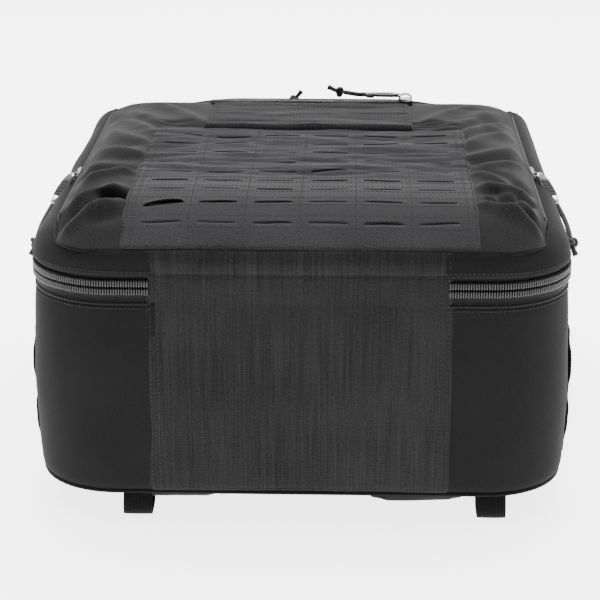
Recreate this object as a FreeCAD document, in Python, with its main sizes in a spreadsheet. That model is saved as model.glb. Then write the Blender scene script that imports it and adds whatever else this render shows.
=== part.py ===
import FreeCAD, Part
import math
import os
import Sketcher
from FreeCAD import Placement, Rotation, Vector

# A clamshell trauma backpack lying on its back. Millimetres, +Z out of the pack's front,
# +Y towards the pack's top end (the grab handle), X across. The origin is the centre of
# the footprint, on the floor. The pack itself is drawn about its own centre and then
# moved by -centre_shift along Y, so that the handle is inside the footprint too.

doc = FreeCAD.newDocument("trauma_backpack")
sheet = doc.addObject("Spreadsheet::Sheet", "dims")

drivingSizes = [
    ("body_width", 370, "main compartment across, outside the fabric"),
    ("body_length", 460, "main compartment along, outside the fabric"),
    ("corner_radius", 56, "corners of the main compartment, seen from the front"),
    ("centre_shift", 18.5, "pack centre to footprint centre"),
    ("fabric_wall", 2, "fabric with its foam lining"),
    ("running_gap", 0.3, "room between pieces that move apart"),
    ("strap_room", 20, "floor to the back panel, taken up by pads and straps"),
    ("back_foam_thickness", 5, "foam behind the back panel"),
    ("frame_thickness", 1.5, "stiffening sheet"),
    ("lining_thickness", 1.5, "loop lining over the stiffening sheet"),
    ("frame_margin", 8, "stiffening sheet back from the wall"),
    ("wall_top", 160, "floor to the top of the main walls"),
    ("zip_rise", 12, "main wall's top to the middle of the main zip, and on to the lid's wall"),
    ("zip_coil", 5.8, "height of one half of the main coil"),
    ("zip_proud", 3, "main coil standing out from the wall"),
    ("zip_tape", 1.2, "zip tape thickness"),
    ("lid_slope", 13, "height and depth of the sloping lid wall"),
    ("lid_sheet", 1.6, "lid panel thickness"),
    ("hinge_panel_width", 208, "fabric panel that the lid folds on"),
    ("piping_radius", 1.5, "bead round the lid's front edge, half of its width"),
    ("sleeve_margin", 34, "sleeve pockets inside the lid, in from the wall"),
    ("divider_thickness", 8, "padded divider"),
    ("loop_width", 20, "loops that hold the strap webbing, across"),
    ("loop_depth", 25, "loops that hold the strap webbing, along"),
    ("lock_width", 34, "ladder lock across"),
    ("lock_length", 26, "ladder lock along"),
    ("pad_inner", 38, "back pads, inner edge from the middle"),
    ("pad_outer", 128, "back pads, outer edge from the middle"),
    ("pad_margin", 8, "back pads in from the pack's lower end"),
    ("pad_thickness", 9, "back pads"),
    ("pad_corner", 24, "back pads' corners"),
    ("pocket_side_margin", 17, "front pocket in from the pack's side"),
    ("pocket_near_margin", 4, "front pocket in from the pack's lower end"),
    ("pocket_far_margin", 60, "front pocket in from the pack's upper end"),
    ("pocket_radius", 44, "front pocket's corners"),
    ("pocket_crown", 28.4, "lid to the pocket's highest line"),
    ("pocket_crown_in", 52, "pocket's lower end to its highest line"),
    ("pocket_top_height", 9.9, "lid to the face at the pocket's upper end"),
    ("pocket_belly_radius", 2249, "curve of the face along the pack"),
    ("pocket_nose_radius", 56, "curve of the face at its lower end"),
    ("pocket_coil", 3.6, "height of one half of the pocket's coil"),
    ("pocket_proud", 2.5, "pocket coil standing out"),
    ("laser_half", 122, "laser-cut panel, half of its width"),
    ("laser_thickness", 1, "laser-cut laminate"),
    ("laser_length", 244, "laser-cut panel along"),
    ("slit_width", 28.5, "webbing slit across"),
    ("slit_gap", 1.6, "webbing slit opening"),
    ("slit_pitch", 38.1, "slit columns, centre to centre"),
    ("slit_row", 25.4, "slit rows, centre to centre"),
    ("slit_first", 26, "pocket's lower end to the first full row"),
    ("loop_half", 82.5, "hook-and-loop panel, half of its width"),
    ("loop_length", 122, "hook-and-loop panel along"),
    ("loop_start", 251, "pocket's lower end to the hook-and-loop panel"),
    ("loop_thickness", 1.8, "hook-and-loop panel"),
    ("upper_zip_half", 86, "small zip above the panel, half of its length"),
    ("upper_zip_width", 14, "small zip's tape across"),
    ("webbing_width", 25.4, "load-bearing webbing"),
    ("webbing_thickness", 1.6, "load-bearing webbing"),
    ("side_webbing_low", 32, "floor to the side webbing"),
    ("side_webbing_height", 90, "side webbing from sewn end to sewn end"),
    ("side_webbing_first", 70, "pack's lower end to the first side webbing"),
    ("side_webbing_pitch", 50.8, "side webbing rows"),
    ("handle_half", 64, "grab handle, half of its width"),
    ("handle_reach", 40, "grab handle out from the wall"),
    ("handle_webbing", 12, "grab handle's webbing across"),
    ("handle_thickness", 5, "grab handle's doubled webbing"),
    ("handle_level", 42, "floor to the grab handle"),
    ("strap_thickness", 8, "padded shoulder strap"),
    ("strap_length", 274.5, "padded shoulder strap from its seam to its ladder lock"),
    ("strap_low", 1, "floor to the shoulder strap"),
    ("strap_hinge_margin", 81.5, "pack's upper end to the seam that the straps swing on"),
    ("yoke_gap", 5, "seam line to the yoke"),
    ("tab_length", 26, "zip pull's flat tab"),
    ("tab_width", 11, "zip pull's flat tab"),
    ("tab_thickness", 2.2, "zip pull's flat tab"),
    ("ferrule_length", 7, "metal end of the zip pull"),
    ("ferrule_radius", 3, "metal end of the zip pull"),
    ("cord_diameter", 3.8, "zip pull cord"),
    ("knot_radius", 4.8, "knot in the pull cord"),
    ("knot_length", 10, "knot in the pull cord"),
]


class Size:
    # A length together with the spreadsheet expression that gives it, so that whatever is
    # drawn at the value stays bound to the cells.
    def __init__(self, value, text):
        self.value = float(value)
        self.text = text

    def __add__(self, other):
        other = asSize(other)
        return Size(self.value + other.value, f"({self.text} + {other.text})")

    def __sub__(self, other):
        other = asSize(other)
        return Size(self.value - other.value, f"({self.text} - {other.text})")

    def __mul__(self, other):
        other = asSize(other)
        return Size(self.value * other.value, f"({self.text} * {other.text})")

    def __truediv__(self, other):
        other = asSize(other)
        return Size(self.value / other.value, f"({self.text} / {other.text})")

    def __neg__(self):
        return Size(-self.value, f"(0 - {self.text})")


def asSize(number):
    return number if isinstance(number, Size) else Size(number, repr(float(number)))


sizes = {}
for row, (alias, value, note) in enumerate(drivingSizes, start=1):
    sheet.set(f"A{row}", alias)
    sheet.set(f"B{row}", str(value))
    sheet.set(f"C{row}", note)
    sheet.setAlias(f"B{row}", alias)
    sizes[alias] = Size(value, f"dims.{alias}")
doc.recompute()

nodes = []


def sketchOn(body, role, path, name):
    # Closed outline on one of the body's own origin planes. Each entry of the path is the
    # end of an edge: (x, y) after a straight one, (x, y, radius, turn) after an arc that
    # turns left (+1) or right (-1).
    sketch = body.newObject("Sketcher::SketchObject", name)
    plane = [feature for feature in body.Origin.OriginFeatures if feature.Role == role][0]
    sketch.AttachmentSupport = [(plane, "")]
    sketch.MapMode = "FlatFace"
    points = [Vector(asSize(entry[0]).value, asSize(entry[1]).value, 0) for entry in path]
    edges = []
    for index, entry in enumerate(path):
        start = points[index - 1]
        end = points[index]
        if len(entry) == 2:
            edges.append(sketch.addGeometry(Part.LineSegment(start, end), False))
        else:
            arc = arcBetween(start, end, asSize(entry[2]).value, entry[3])
            edges.append(sketch.addGeometry(arc, False))
    for index, entry in enumerate(path):
        following = (index + 1) % len(path)
        endPoint = 1 if len(entry) > 2 and entry[3] < 0 else 2
        nextIsRight = len(path[following]) > 2 and path[following][3] < 0
        startPoint = 2 if nextIsRight else 1
        sketch.addConstraint(
            Sketcher.Constraint(
                "Coincident", edges[index], endPoint, edges[following], startPoint
            )
        )
        for kind, length in (("DistanceX", entry[0]), ("DistanceY", entry[1])):
            bindConstraint(
                sketch,
                Sketcher.Constraint(
                    kind, -1, 1, edges[index], endPoint, asSize(length).value
                ),
                length,
            )
        if len(entry) > 2:
            radius = asSize(entry[2])
            bindConstraint(
                sketch, Sketcher.Constraint("Radius", edges[index], radius.value), radius
            )
    return sketch


def bindConstraint(sketch, constraint, length):
    number = sketch.addConstraint(constraint)
    sketch.setExpression(f"Constraints[{number}]", asSize(length).text)


def arcBetween(start, end, radius, turn):
    chord = end - start
    rise = math.sqrt(max(radius**2 - chord.Length**2 / 4, 0))
    centre = (start + end) * 0.5 + Vector(-chord.y, chord.x, 0) * (turn * rise / chord.Length)
    startAngle = math.atan2(start.y - centre.y, start.x - centre.x)
    endAngle = math.atan2(end.y - centre.y, end.x - centre.x)
    if turn < 0:
        startAngle, endAngle = endAngle, startAngle
    if endAngle <= startAngle:
        endAngle += 2 * math.pi
    circle = Part.Circle(centre, Vector(0, 0, 1), radius)
    return Part.ArcOfCircle(circle, startAngle, endAngle)


def padded(label, role, path, start, length):
    # An outline on the XY, XZ or YZ plane, padded by length towards +Z, +Y or +X from
    # start. Everything is drawn about the pack's centre.
    body = doc.addObject("PartDesign::Body", label)
    body.Label = label
    sketch = sketchOn(body, role, path, label + "_outline")
    pad = body.newObject("PartDesign::Pad", label + "_pad")
    pad.Profile = sketch
    pad.Reversed = role == "XZ_Plane"
    pad.setExpression("Length", asSize(length).text)
    along = {"XY_Plane": "z", "XZ_Plane": "y", "YZ_Plane": "x"}[role]
    if along == "y":
        start = asSize(start) - sizes["centre_shift"]
    else:
        body.setExpression("Placement.Base.y", (-sizes["centre_shift"]).text)
    body.setExpression(f"Placement.Base.{along}", asSize(start).text)
    return body


def node(item):
    nodes.append(item)
    return item


def combined(kind, label, *items):
    result = doc.addObject("Part::" + kind, label)
    result.Label = label
    if kind in ("Cut", "Common"):
        result.Base, result.Tool = items
    elif kind == "MultiFuse":
        result.Shapes = list(items)
    else:
        result.Links = list(items)
    return result


def box(label, low, high):
    # A box between two corners, each given as three sizes about the pack's centre.
    item = doc.addObject("Part::Box", label)
    item.Label = label
    for name, letter, lower, upper in zip(
        ("Length", "Width", "Height"), ("x", "y", "z"), low, high
    ):
        item.setExpression(name, (asSize(upper) - lower).text)
        offset = asSize(lower)
        if letter == "y":
            offset = offset - sizes["centre_shift"]
        item.setExpression(f"Placement.Base.{letter}", offset.text)
    return item


# Outlines seen from the front: (half width, near end, far end, corner radius).

def bodyOutline(offset):
    half = sizes["body_width"] / 2 + offset
    reach = sizes["body_length"] / 2 + offset
    return half, reach, reach, sizes["corner_radius"] + offset


def pocketOutline(offset):
    return (
        pocketHalf + offset,
        pocketNear + offset,
        pocketFar + offset,
        sizes["pocket_radius"] + offset,
    )


def loopPath(outline):
    half, near, far, radius = outline
    return [
        (half - radius, -near),
        (half, radius - near, radius, 1),
        (half, far - radius),
        (half - radius, far, radius, 1),
        (radius - half, far),
        (-half, far - radius, radius, 1),
        (-half, radius - near),
        (radius - half, -near, radius, 1),
    ]


def horseshoePath(outer, inner, start):
    # The band between two outlines, open at the near end between -start and +start.
    outerHalf, outerNear, outerFar, outerRadius = outer
    innerHalf, innerNear, innerFar, innerRadius = inner
    return [
        (-start, -outerNear),
        (outerRadius - outerHalf, -outerNear),
        (-outerHalf, outerRadius - outerNear, outerRadius, -1),
        (-outerHalf, outerFar - outerRadius),
        (outerRadius - outerHalf, outerFar, outerRadius, -1),
        (outerHalf - outerRadius, outerFar),
        (outerHalf, outerFar - outerRadius, outerRadius, -1),
        (outerHalf, outerRadius - outerNear),
        (outerHalf - outerRadius, -outerNear, outerRadius, -1),
        (start, -outerNear),
        (start, -innerNear),
        (innerHalf - innerRadius, -innerNear),
        (innerHalf, innerRadius - innerNear, innerRadius, 1),
        (innerHalf, innerFar - innerRadius),
        (innerHalf - innerRadius, innerFar, innerRadius, 1),
        (innerRadius - innerHalf, innerFar),
        (-innerHalf, innerFar - innerRadius, innerRadius, 1),
        (-innerHalf, innerRadius - innerNear),
        (innerRadius - innerHalf, -innerNear, innerRadius, 1),
        (-start, -innerNear),
    ]


def sidePath(side, outer, inner, start):
    # One side of that band, from the near end round to the far end.
    outerHalf, outerNear, outerFar, outerRadius = outer
    innerHalf, innerNear, innerFar, innerRadius = inner
    return [
        (start * side, -outerNear),
        ((outerHalf - outerRadius) * side, -outerNear),
        (outerHalf * side, outerRadius - outerNear, outerRadius, side),
        (outerHalf * side, outerFar - outerRadius),
        ((outerHalf - outerRadius) * side, outerFar, outerRadius, side),
        (start * side, outerFar),
        (start * side, innerFar),
        ((innerHalf - innerRadius) * side, innerFar),
        (innerHalf * side, innerFar - innerRadius, innerRadius, -side),
        (innerHalf * side, innerRadius - innerNear),
        ((innerHalf - innerRadius) * side, -innerNear, innerRadius, -side),
        (start * side, -innerNear),
    ]


def rectangle(x0, y0, x1, y1):
    return [(x0, y0), (x1, y0), (x1, y1), (x0, y1)]


def roundedRectangle(x0, y0, x1, y1, radius):
    return [
        (x1 - radius, y0),
        (x1, y0 + radius, radius, 1),
        (x1, y1 - radius),
        (x1 - radius, y1, radius, 1),
        (x0 + radius, y1),
        (x0, y1 - radius, radius, 1),
        (x0, y0 + radius),
        (x0 + radius, y0, radius, 1),
    ]


wall = sizes["fabric_wall"]
gap = sizes["running_gap"]
strapRoom = sizes["strap_room"]
halfWidth = sizes["body_width"] / 2
halfLength = sizes["body_length"] / 2
hingeHalf = sizes["hinge_panel_width"] / 2
pocketHalf = halfWidth - sizes["pocket_side_margin"]
pocketNear = halfLength - sizes["pocket_near_margin"]
pocketFar = halfLength - sizes["pocket_far_margin"]
strapSeam = halfLength - sizes["strap_hinge_margin"]
zipLevel = sizes["wall_top"] + sizes["zip_rise"]
lidWallLow = zipLevel + sizes["zip_rise"]
lidTop = lidWallLow + sizes["lid_slope"] + sizes["lid_sheet"]
crownLevel = lidTop + sizes["pocket_crown"]
pocketEndLevel = lidTop + sizes["pocket_top_height"]
floorInside = (
    strapRoom
    + wall
    + sizes["back_foam_thickness"]
    + sizes["frame_thickness"]
    + sizes["lining_thickness"]
)


def backOfPack():
    # Back panel, foam, stiffening sheet and lining, from the floor side inwards, and the
    # two spacer-mesh pads that lie against the wearer.
    foamLow = strapRoom + wall
    frameLow = foamLow + sizes["back_foam_thickness"]
    liningLow = frameLow + sizes["frame_thickness"]
    inside = loopPath(bodyOutline(-wall))
    margin = loopPath(bodyOutline(-sizes["frame_margin"]))
    outside = loopPath(bodyOutline(0))
    node(padded("back_panel", "XY_Plane", outside, strapRoom, wall))
    node(padded("back_foam", "XY_Plane", inside, foamLow, sizes["back_foam_thickness"]))
    node(padded("frame_sheet", "XY_Plane", margin, frameLow, sizes["frame_thickness"]))
    node(padded("back_lining", "XY_Plane", inside, liningLow, sizes["lining_thickness"]))
    for name, side in (("left", -1), ("right", 1)):
        edges = sorted(
            (sizes["pad_inner"] * side, sizes["pad_outer"] * side), key=lambda size: size.value
        )
        near = -halfLength + sizes["pad_margin"]
        outline = roundedRectangle(
            edges[0], near, edges[1], strapSeam + 1.5, sizes["pad_corner"]
        )
        low = strapRoom - sizes["pad_thickness"]
        node(padded(f"back_pad_{name}", "XY_Plane", outline, low, sizes["pad_thickness"]))


def mainWalls():
    low = strapRoom + wall
    height = sizes["wall_top"] - low
    for name, side in (("left", -1), ("right", 1)):
        path = sidePath(side, bodyOutline(0), bodyOutline(-wall), hingeHalf)
        node(padded(f"gusset_{name}", "XY_Plane", path, low, height))
    far = rectangle(-hingeHalf, halfLength - wall, hingeHalf, halfLength)
    node(padded("top_panel", "XY_Plane", far, low, height))
    near = rectangle(
        -hingeHalf, -halfLength - sizes["zip_proud"], hingeHalf, -halfLength + wall
    )
    foldLine = zipLevel - gap
    node(padded("bottom_panel", "XY_Plane", near, low, foldLine - low))


def zipHalf(label, outline, proud, low, coilLow, coilHeight, tapeHeight, start):
    # Tape with its coil sewn on: the tape lies in the wall's outer face and the coil
    # stands out of it.
    tape = padded(
        label + "_tape", "XY_Plane",
        horseshoePath(outline(0), outline(-sizes["zip_tape"]), start), low, tapeHeight,
    )
    coil = padded(
        label + "_coil", "XY_Plane",
        horseshoePath(outline(proud), outline(0), start), coilLow, coilHeight,
    )
    return node(combined("MultiFuse", label, tape, coil))


def mainZip():
    level = zipLevel
    coil = sizes["zip_coil"]
    proud = sizes["zip_proud"]
    tapeLow = sizes["wall_top"]
    zipHalf(
        "main_zip_body", bodyOutline, proud, tapeLow, level - gap - coil, coil,
        level - gap - tapeLow, hingeHalf,
    )
    zipHalf(
        "main_zip_lid", bodyOutline, proud, level + gap, level + gap, coil,
        lidWallLow - level - gap, hingeHalf,
    )


def slopedBlock(label, offset, low, slope):
    # The lid's outline with its front edge taken off at 45 degrees all round.
    body = padded(label, "XY_Plane", loopPath(bodyOutline(offset)), low, slope + 0.01)
    doc.recompute()
    pad = body.Tip
    top = pad.Shape.BoundBox.ZMax
    rim = [
        f"Edge{number}"
        for number, edge in enumerate(pad.Shape.Edges, start=1)
        if edge.BoundBox.ZMin > top - 0.001
    ]
    chamfer = body.newObject("PartDesign::Chamfer", label + "_chamfer")
    chamfer.Base = (pad, rim)
    chamfer.setExpression("Size", slope.text)
    return body


def lid():
    low = lidWallLow
    slope = sizes["lid_slope"]
    top = low + slope
    outer = slopedBlock("lid_wall_outside", 0, low, slope)
    inner = slopedBlock("lid_wall_inside", -wall, low, slope)
    shell = combined("Cut", "lid_wall_shell", outer, inner)
    rim = bodyOutline(-slope)
    clearOfTop = padded("lid_wall_top_cut", "XY_Plane", loopPath(rim), low, slope * 2)
    openShell = combined("Cut", "lid_wall_open", shell, clearOfTop)
    nearBlock = box(
        "lid_wall_near_cut",
        (-hingeHalf, -halfLength - 1, low - 1),
        (hingeHalf, -halfLength + slope + wall * 2, top + 1),
    )
    node(combined("Cut", "lid_gusset", openShell, nearBlock))
    hingeLow = zipLevel + gap
    proud = sizes["zip_proud"]
    profile = [
        (-halfLength + wall, hingeLow),
        (-halfLength + wall, low),
        (-halfLength + slope, top - wall),
        (-halfLength + slope, top),
        (-halfLength, low + proud),
        (-halfLength - proud, low),
        (-halfLength - proud, hingeLow),
    ]
    node(padded("lid_hinge_panel", "YZ_Plane", profile, -hingeHalf, hingeHalf * 2))
    face = loopPath(bodyOutline(-slope - sizes["piping_radius"]))
    node(padded("lid_panel", "XY_Plane", face, top, sizes["lid_sheet"]))
    beadOutside = padded(
        "lid_piping_outside", "XY_Plane", loopPath(bodyOutline(-slope + sizes["piping_radius"])),
        top, sizes["lid_sheet"],
    )
    beadInside = padded(
        "lid_piping_inside", "XY_Plane", loopPath(bodyOutline(-slope - sizes["piping_radius"])),
        top - 1, sizes["lid_sheet"] + 2,
    )
    node(combined("Cut", "lid_piping", beadOutside, beadInside))
    sleeves = []
    half = halfWidth - sizes["sleeve_margin"]
    reach = halfLength - sizes["sleeve_margin"]
    for name, near, far in (("lower", -reach, asSize(-12)), ("upper", asSize(12), reach)):
        outline = roundedRectangle(-half, near, half, far, asSize(12))
        sleeves.append(padded(f"lid_sleeve_{name}", "XY_Plane", outline, top - 7, 6))
    node(combined("Compound", "lid_pockets", *sleeves))


def pocketProfile(inset):
    # The pocket's face in side view: a round nose at its lower end, then one long shallow
    # arc to its upper end.
    near = -pocketNear + inset
    crownY = -pocketNear + sizes["pocket_crown_in"]
    far = pocketFar + 1
    return [
        (near, lidTop - inset),
        (crownY, crownLevel - inset, sizes["pocket_nose_radius"], -1),
        (far, pocketEndLevel - inset, sizes["pocket_belly_radius"], -1),
        (far, lidTop - inset),
    ]


def onFace(label, outline, inset, thickness):
    # A sheet that lies on the pocket's face: the band between two copies of the profile,
    # cut to an outline seen from the front.
    half = pocketHalf
    upper = padded(
        label + "_upper", "YZ_Plane", pocketProfile(inset), -half, half * 2
    )
    lower = padded(
        label + "_lower", "YZ_Plane", pocketProfile(thickness + inset), -half, half * 2
    )
    band = combined("Cut", label + "_band", upper, lower)
    plan = padded(label + "_plan", "XY_Plane", outline, zipLevel, 100)
    return combined("Common", label, band, plan)


def pocket():
    proud = sizes["pocket_proud"]
    coil = sizes["pocket_coil"]
    half, near, far, radius = pocketOutline(0)
    start = half - radius - 6
    zipHalf("pocket_zip_lid", pocketOutline, proud, lidTop, lidTop, coil, coil, start)
    upperLow = lidTop + coil + gap * 2
    zipHalf("pocket_zip_flap", pocketOutline, proud, upperLow, upperLow, coil, coil, start)
    face = onFace("pocket_face_sheet", loopPath(pocketOutline(-wall)), 0, wall)
    trims = []
    for name, side in (("left", -1), ("right", 1)):
        low, high = ordered(
            (start - 1) * side, half * side, -near - 1, -near + 12, lidTop - 5, upperLow
        )
        trims.append(box(f"pocket_face_trim_{name}", low, high))
    trim = combined("Compound", "pocket_face_trims", *trims)
    node(combined("Cut", "pocket_face", face, trim))
    ring = padded(
        "pocket_wall_ring", "XY_Plane",
        horseshoePath(pocketOutline(0), pocketOutline(-wall), start), upperLow + coil, 40,
    )
    under = padded(
        "pocket_wall_under", "YZ_Plane", pocketProfile(0), -half, half * 2
    )
    node(combined("Common", "pocket_wall", ring, under))


def laserCutPanel():
    # Laminate with rows of webbing slits, lying on the pocket's face.
    half = sizes["laser_half"]
    near = -pocketNear + 6
    outline = rectangle(-half, near, half, near + sizes["laser_length"])
    sheetOnFace = onFace("laser_sheet", outline, -sizes["laser_thickness"], sizes["laser_thickness"])
    body = doc.addObject("PartDesign::Body", "laser_slits")
    body.Label = "laser_slits"
    body.setExpression("Placement.Base.y", (-sizes["centre_shift"]).text)
    firstX = -sizes["slit_pitch"] * 2.5
    firstY = -pocketNear + sizes["slit_first"]
    slit = sketchOn(
        body, "XY_Plane",
        rectangle(
            firstX - sizes["slit_width"] / 2, firstY - sizes["slit_gap"] / 2,
            firstX + sizes["slit_width"] / 2, firstY + sizes["slit_gap"] / 2,
        ),
        "slit_outline",
    )
    pad = body.newObject("PartDesign::Pad", "slit_pad")
    pad.Profile = slit
    pad.Length = 300
    doc.recompute()
    rows = body.newObject("PartDesign::LinearPattern", "slit_grid")
    rows.Originals = [pad]
    rows.Direction = (slit, ["H_Axis"])
    rows.Occurrences = 6
    rows.setExpression("Length", (sizes["slit_pitch"] * 5).text)
    rows.Direction2 = (slit, ["V_Axis"])
    rows.Occurrences2 = 9
    rows.setExpression("Length2", (sizes["slit_row"] * 8).text)
    body.Tip = rows
    doc.recompute()
    node(combined("Cut", "laser_cut_panel", sheetOnFace, body))


def upperEnd():
    # Hook-and-loop panel and the small zip above it.
    near = -pocketNear + sizes["loop_start"]
    far = near + sizes["loop_length"]
    half = sizes["loop_half"]
    thickness = sizes["loop_thickness"]
    node(onFace("loop_panel", rectangle(-half, near, half, far), -thickness, thickness))
    zipNear = far + 1
    zipPath = rectangle(
        -sizes["upper_zip_half"], zipNear, sizes["upper_zip_half"],
        zipNear + sizes["upper_zip_width"],
    )
    zipThickness = sizes["pocket_proud"]
    node(onFace("upper_zip", zipPath, -zipThickness, zipThickness))


def webbing():
    # Rows of load-bearing webbing on both side walls, each one sewn at its two ends and in
    # the middle, and the loops that hold the strap webbing at the pack's lower corners.
    low = sizes["side_webbing_low"]
    high = low + sizes["side_webbing_height"]
    rows = []
    for side in (-1, 1):
        edges = sorted(
            (halfWidth * side, (halfWidth + sizes["webbing_thickness"]) * side),
            key=lambda size: size.value,
        )
        for row in range(7):
            near = -halfLength + sizes["side_webbing_first"] + sizes["side_webbing_pitch"] * row
            rows.append(
                box(
                    f"side_webbing_{row}_{side + 1}",
                    (edges[0], near, low),
                    (edges[1], near + sizes["webbing_width"], high),
                )
            )
    node(combined("Compound", "side_webbing", *rows))
    loops = []
    top = strapRoom - sizes["pad_thickness"]
    depth = -halfLength + 2 + sizes["loop_depth"]
    for name, inner in (("left", asSize(-124)), ("right", asSize(125))):
        outer = inner + sizes["loop_width"]
        ring = box(
            f"webbing_loop_{name}_outside", (inner, -halfLength + 2, 0),
            (outer, depth, top),
        )
        hole = box(
            f"webbing_loop_{name}_inside", (inner + 3, -halfLength + 1, 3.8),
            (outer - 3, depth + 1, top - 3.8),
        )
        loops.append(combined("Cut", f"webbing_loop_{name}", ring, hole))
    node(combined("Compound", "webbing_loops", *loops))


def harness():
    # Yoke, padded shoulder straps with their ladder locks, lower webbing and its wings,
    # and the two halves of the chest strap.
    seam = strapSeam
    yokeNear = seam + sizes["yoke_gap"]
    yokeHalf = sizes["pad_outer"] - 16
    yoke = roundedRectangle(-yokeHalf, yokeNear, yokeHalf, yokeNear + 50, asSize(12))
    node(padded("strap_yoke", "XY_Plane", yoke, 0, strapRoom))
    webbingTop = strapRoom - sizes["pad_thickness"] - gap
    wings = []
    lowerWebbing = []
    middle = (sizes["pad_inner"] + sizes["pad_outer"]) / 2
    strapEnd = seam - sizes["strap_length"]
    lockEnd = strapEnd - sizes["lock_length"]
    lockHalf = sizes["lock_width"] / 2
    lockMiddle = middle + 18
    corner = halfWidth - 9
    wingNear = -halfLength + 34
    for name, side in (("left", -1), ("right", 1)):
        strapPath = [
            ((middle - 39) * side, seam - 1.5),
            ((middle + 23) * side, seam - 1.5),
            ((middle + 45) * side, seam - 108),
            ((middle + 47) * side, strapEnd + 66),
            ((lockMiddle + 13) * side, strapEnd),
            ((lockMiddle - 13) * side, strapEnd),
            ((middle - 11) * side, strapEnd + 66),
            ((middle - 17) * side, seam - 108),
        ]
        node(
            padded(
                f"shoulder_strap_{name}", "XY_Plane", strapPath, sizes["strap_low"],
                sizes["strap_thickness"],
            )
        )
        outer = (lockMiddle + lockHalf) * side
        inner = (lockMiddle - lockHalf) * side
        lock = box(f"ladder_lock_{name}_block", *ordered(inner, outer, lockEnd, strapEnd, 2, 7))
        windows = []
        for number, start in enumerate((lockEnd + 4, strapEnd - 10)):
            low, high = ordered(
                (lockMiddle + lockHalf - 4) * side, (lockMiddle - lockHalf + 4) * side,
                start, start + 3.5, 1, 8,
            )
            windows.append(box(f"ladder_lock_{name}_window_{number}", low, high))
        node(
            combined(
                "Cut", f"ladder_lock_{name}", lock,
                combined("Compound", f"ladder_lock_{name}_windows", *windows),
            )
        )
        chestFar = seam - 108
        buckleEnd = asSize(30) * side
        node(
            box(
                f"sternum_webbing_{name}",
                *ordered(
                    buckleEnd, (middle - 17.1) * side, chestFar - 20, chestFar, 4,
                    sizes["webbing_thickness"] + 4,
                ),
            )
        )
        node(
            box(
                f"sternum_buckle_{name}",
                *ordered(asSize(3) * side, buckleEnd, chestFar - 24, chestFar + 4, 2, 8),
            )
        )
        wingPath = [
            (corner * side, wingNear),
            (corner * side, wingNear + 66),
            ((corner - 37) * side, wingNear + 30),
        ]
        wings.append(
            padded(
                f"strap_wing_{name}", "XY_Plane", wingPath, webbingTop, strapRoom - webbingTop
            )
        )
        stripPath = [
            ((lockMiddle - 11) * side, lockEnd - 1),
            ((lockMiddle + 11) * side, lockEnd - 1),
            ((corner - 12) * side, wingNear + 20),
            ((corner - 18) * side, wingNear + 1),
        ]
        lowerWebbing.append(
            padded(
                f"lower_webbing_{name}", "XY_Plane", stripPath,
                webbingTop - sizes["webbing_thickness"], sizes["webbing_thickness"],
            )
        )
    node(combined("Compound", "strap_wings", *wings))
    node(combined("Compound", "lower_webbing", *lowerWebbing))


def ordered(x0, x1, y0, y1, z0, z1):
    # Two opposite corners, whichever side of the pack they are on.
    low, high = sorted((asSize(x0), asSize(x1)), key=lambda size: size.value)
    return (low, y0, z0), (high, y1, z1)


def grabHandle():
    # Doubled webbing in a flat arch that swings at the far wall, its sleeve, and the
    # patches that it is sewn to.
    half = sizes["handle_half"]
    reach = halfLength + sizes["handle_reach"] - 1.5
    start = halfLength + 2.2
    width = sizes["handle_webbing"]
    thickness = sizes["handle_thickness"]
    low = sizes["handle_level"] - thickness / 2
    arch = [
        (-half, start),
        (-half + width, start),
        (-half + width + 6, reach - width),
        (half - width - 6, reach - width),
        (half - width, start),
        (half, start),
        (half - 8, reach),
        (-half + 8, reach),
    ]
    strap = padded("handle_webbing", "XY_Plane", arch, low, thickness)
    node(strap)
    sleeveHalf = half - width - 8
    outside = box(
        "handle_grip_outside", (-sleeveHalf, reach - width - 1.5, low - 4),
        (sleeveHalf, reach + 1.5, low + thickness + 4),
    )
    inside = box(
        "handle_grip_inside", (-half, reach - width, low), (half, reach, low + thickness)
    )
    node(combined("Cut", "handle_grip", outside, inside))
    patches = []
    for name, side in (("left", -1), ("right", 1)):
        low, high = ordered(
            (half - width - 2) * side, (half + 2) * side, halfLength, halfLength + 1,
            sizes["handle_level"] - 12, sizes["handle_level"] + 12,
        )
        patches.append(box(f"handle_patch_{name}", low, high))
    node(combined("Compound", "handle_patches", *patches))


def interior():
    # A padded divider across the main compartment and rows of elastic on the lining.
    divider = box(
        "divider",
        (-halfWidth + wall + 5, -sizes["divider_thickness"] / 2, floorInside + 3),
        (halfWidth - wall - 5, sizes["divider_thickness"] / 2, sizes["wall_top"] - 10),
    )
    node(divider)
    rows = []
    half = halfWidth - 45
    for number in range(3):
        far = halfLength - 12 - 60 * number
        rows.append(
            box(f"elastic_{number}", (-half, far - 38, floorInside), (half, far, floorInside + 2))
        )
    node(combined("Compound", "elastic_loops", *rows))


def between(start, end, normal):
    # Turns local X along the line from start to end, with local Z as near to the normal
    # as it can be.
    along = end - start
    across = normal.cross(along)
    return Rotation(along, across, normal, "XZY")


def pulled(label, place, low, high):
    # A box in the pull's own axes, with its sizes bound to the sheet.
    item = doc.addObject("Part::Box", label)
    for name, lower, upper in zip(("Length", "Width", "Height"), low, high):
        item.setExpression(name, (asSize(upper) - lower).text)
    corner = Vector(*[asSize(lower).value for lower in low])
    item.Placement = place.multiply(Placement(corner, Rotation()))
    return item


def rod(label, place, start, length, radius):
    item = doc.addObject("Part::Cylinder", label)
    item.setExpression("Height", asSize(length).text)
    item.setExpression("Radius", asSize(radius).text)
    alongX = Placement(Vector(asSize(start).value, 0, 0), Rotation(Vector(0, 1, 0), 90))
    item.Placement = place.multiply(alongX)
    return item


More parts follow.
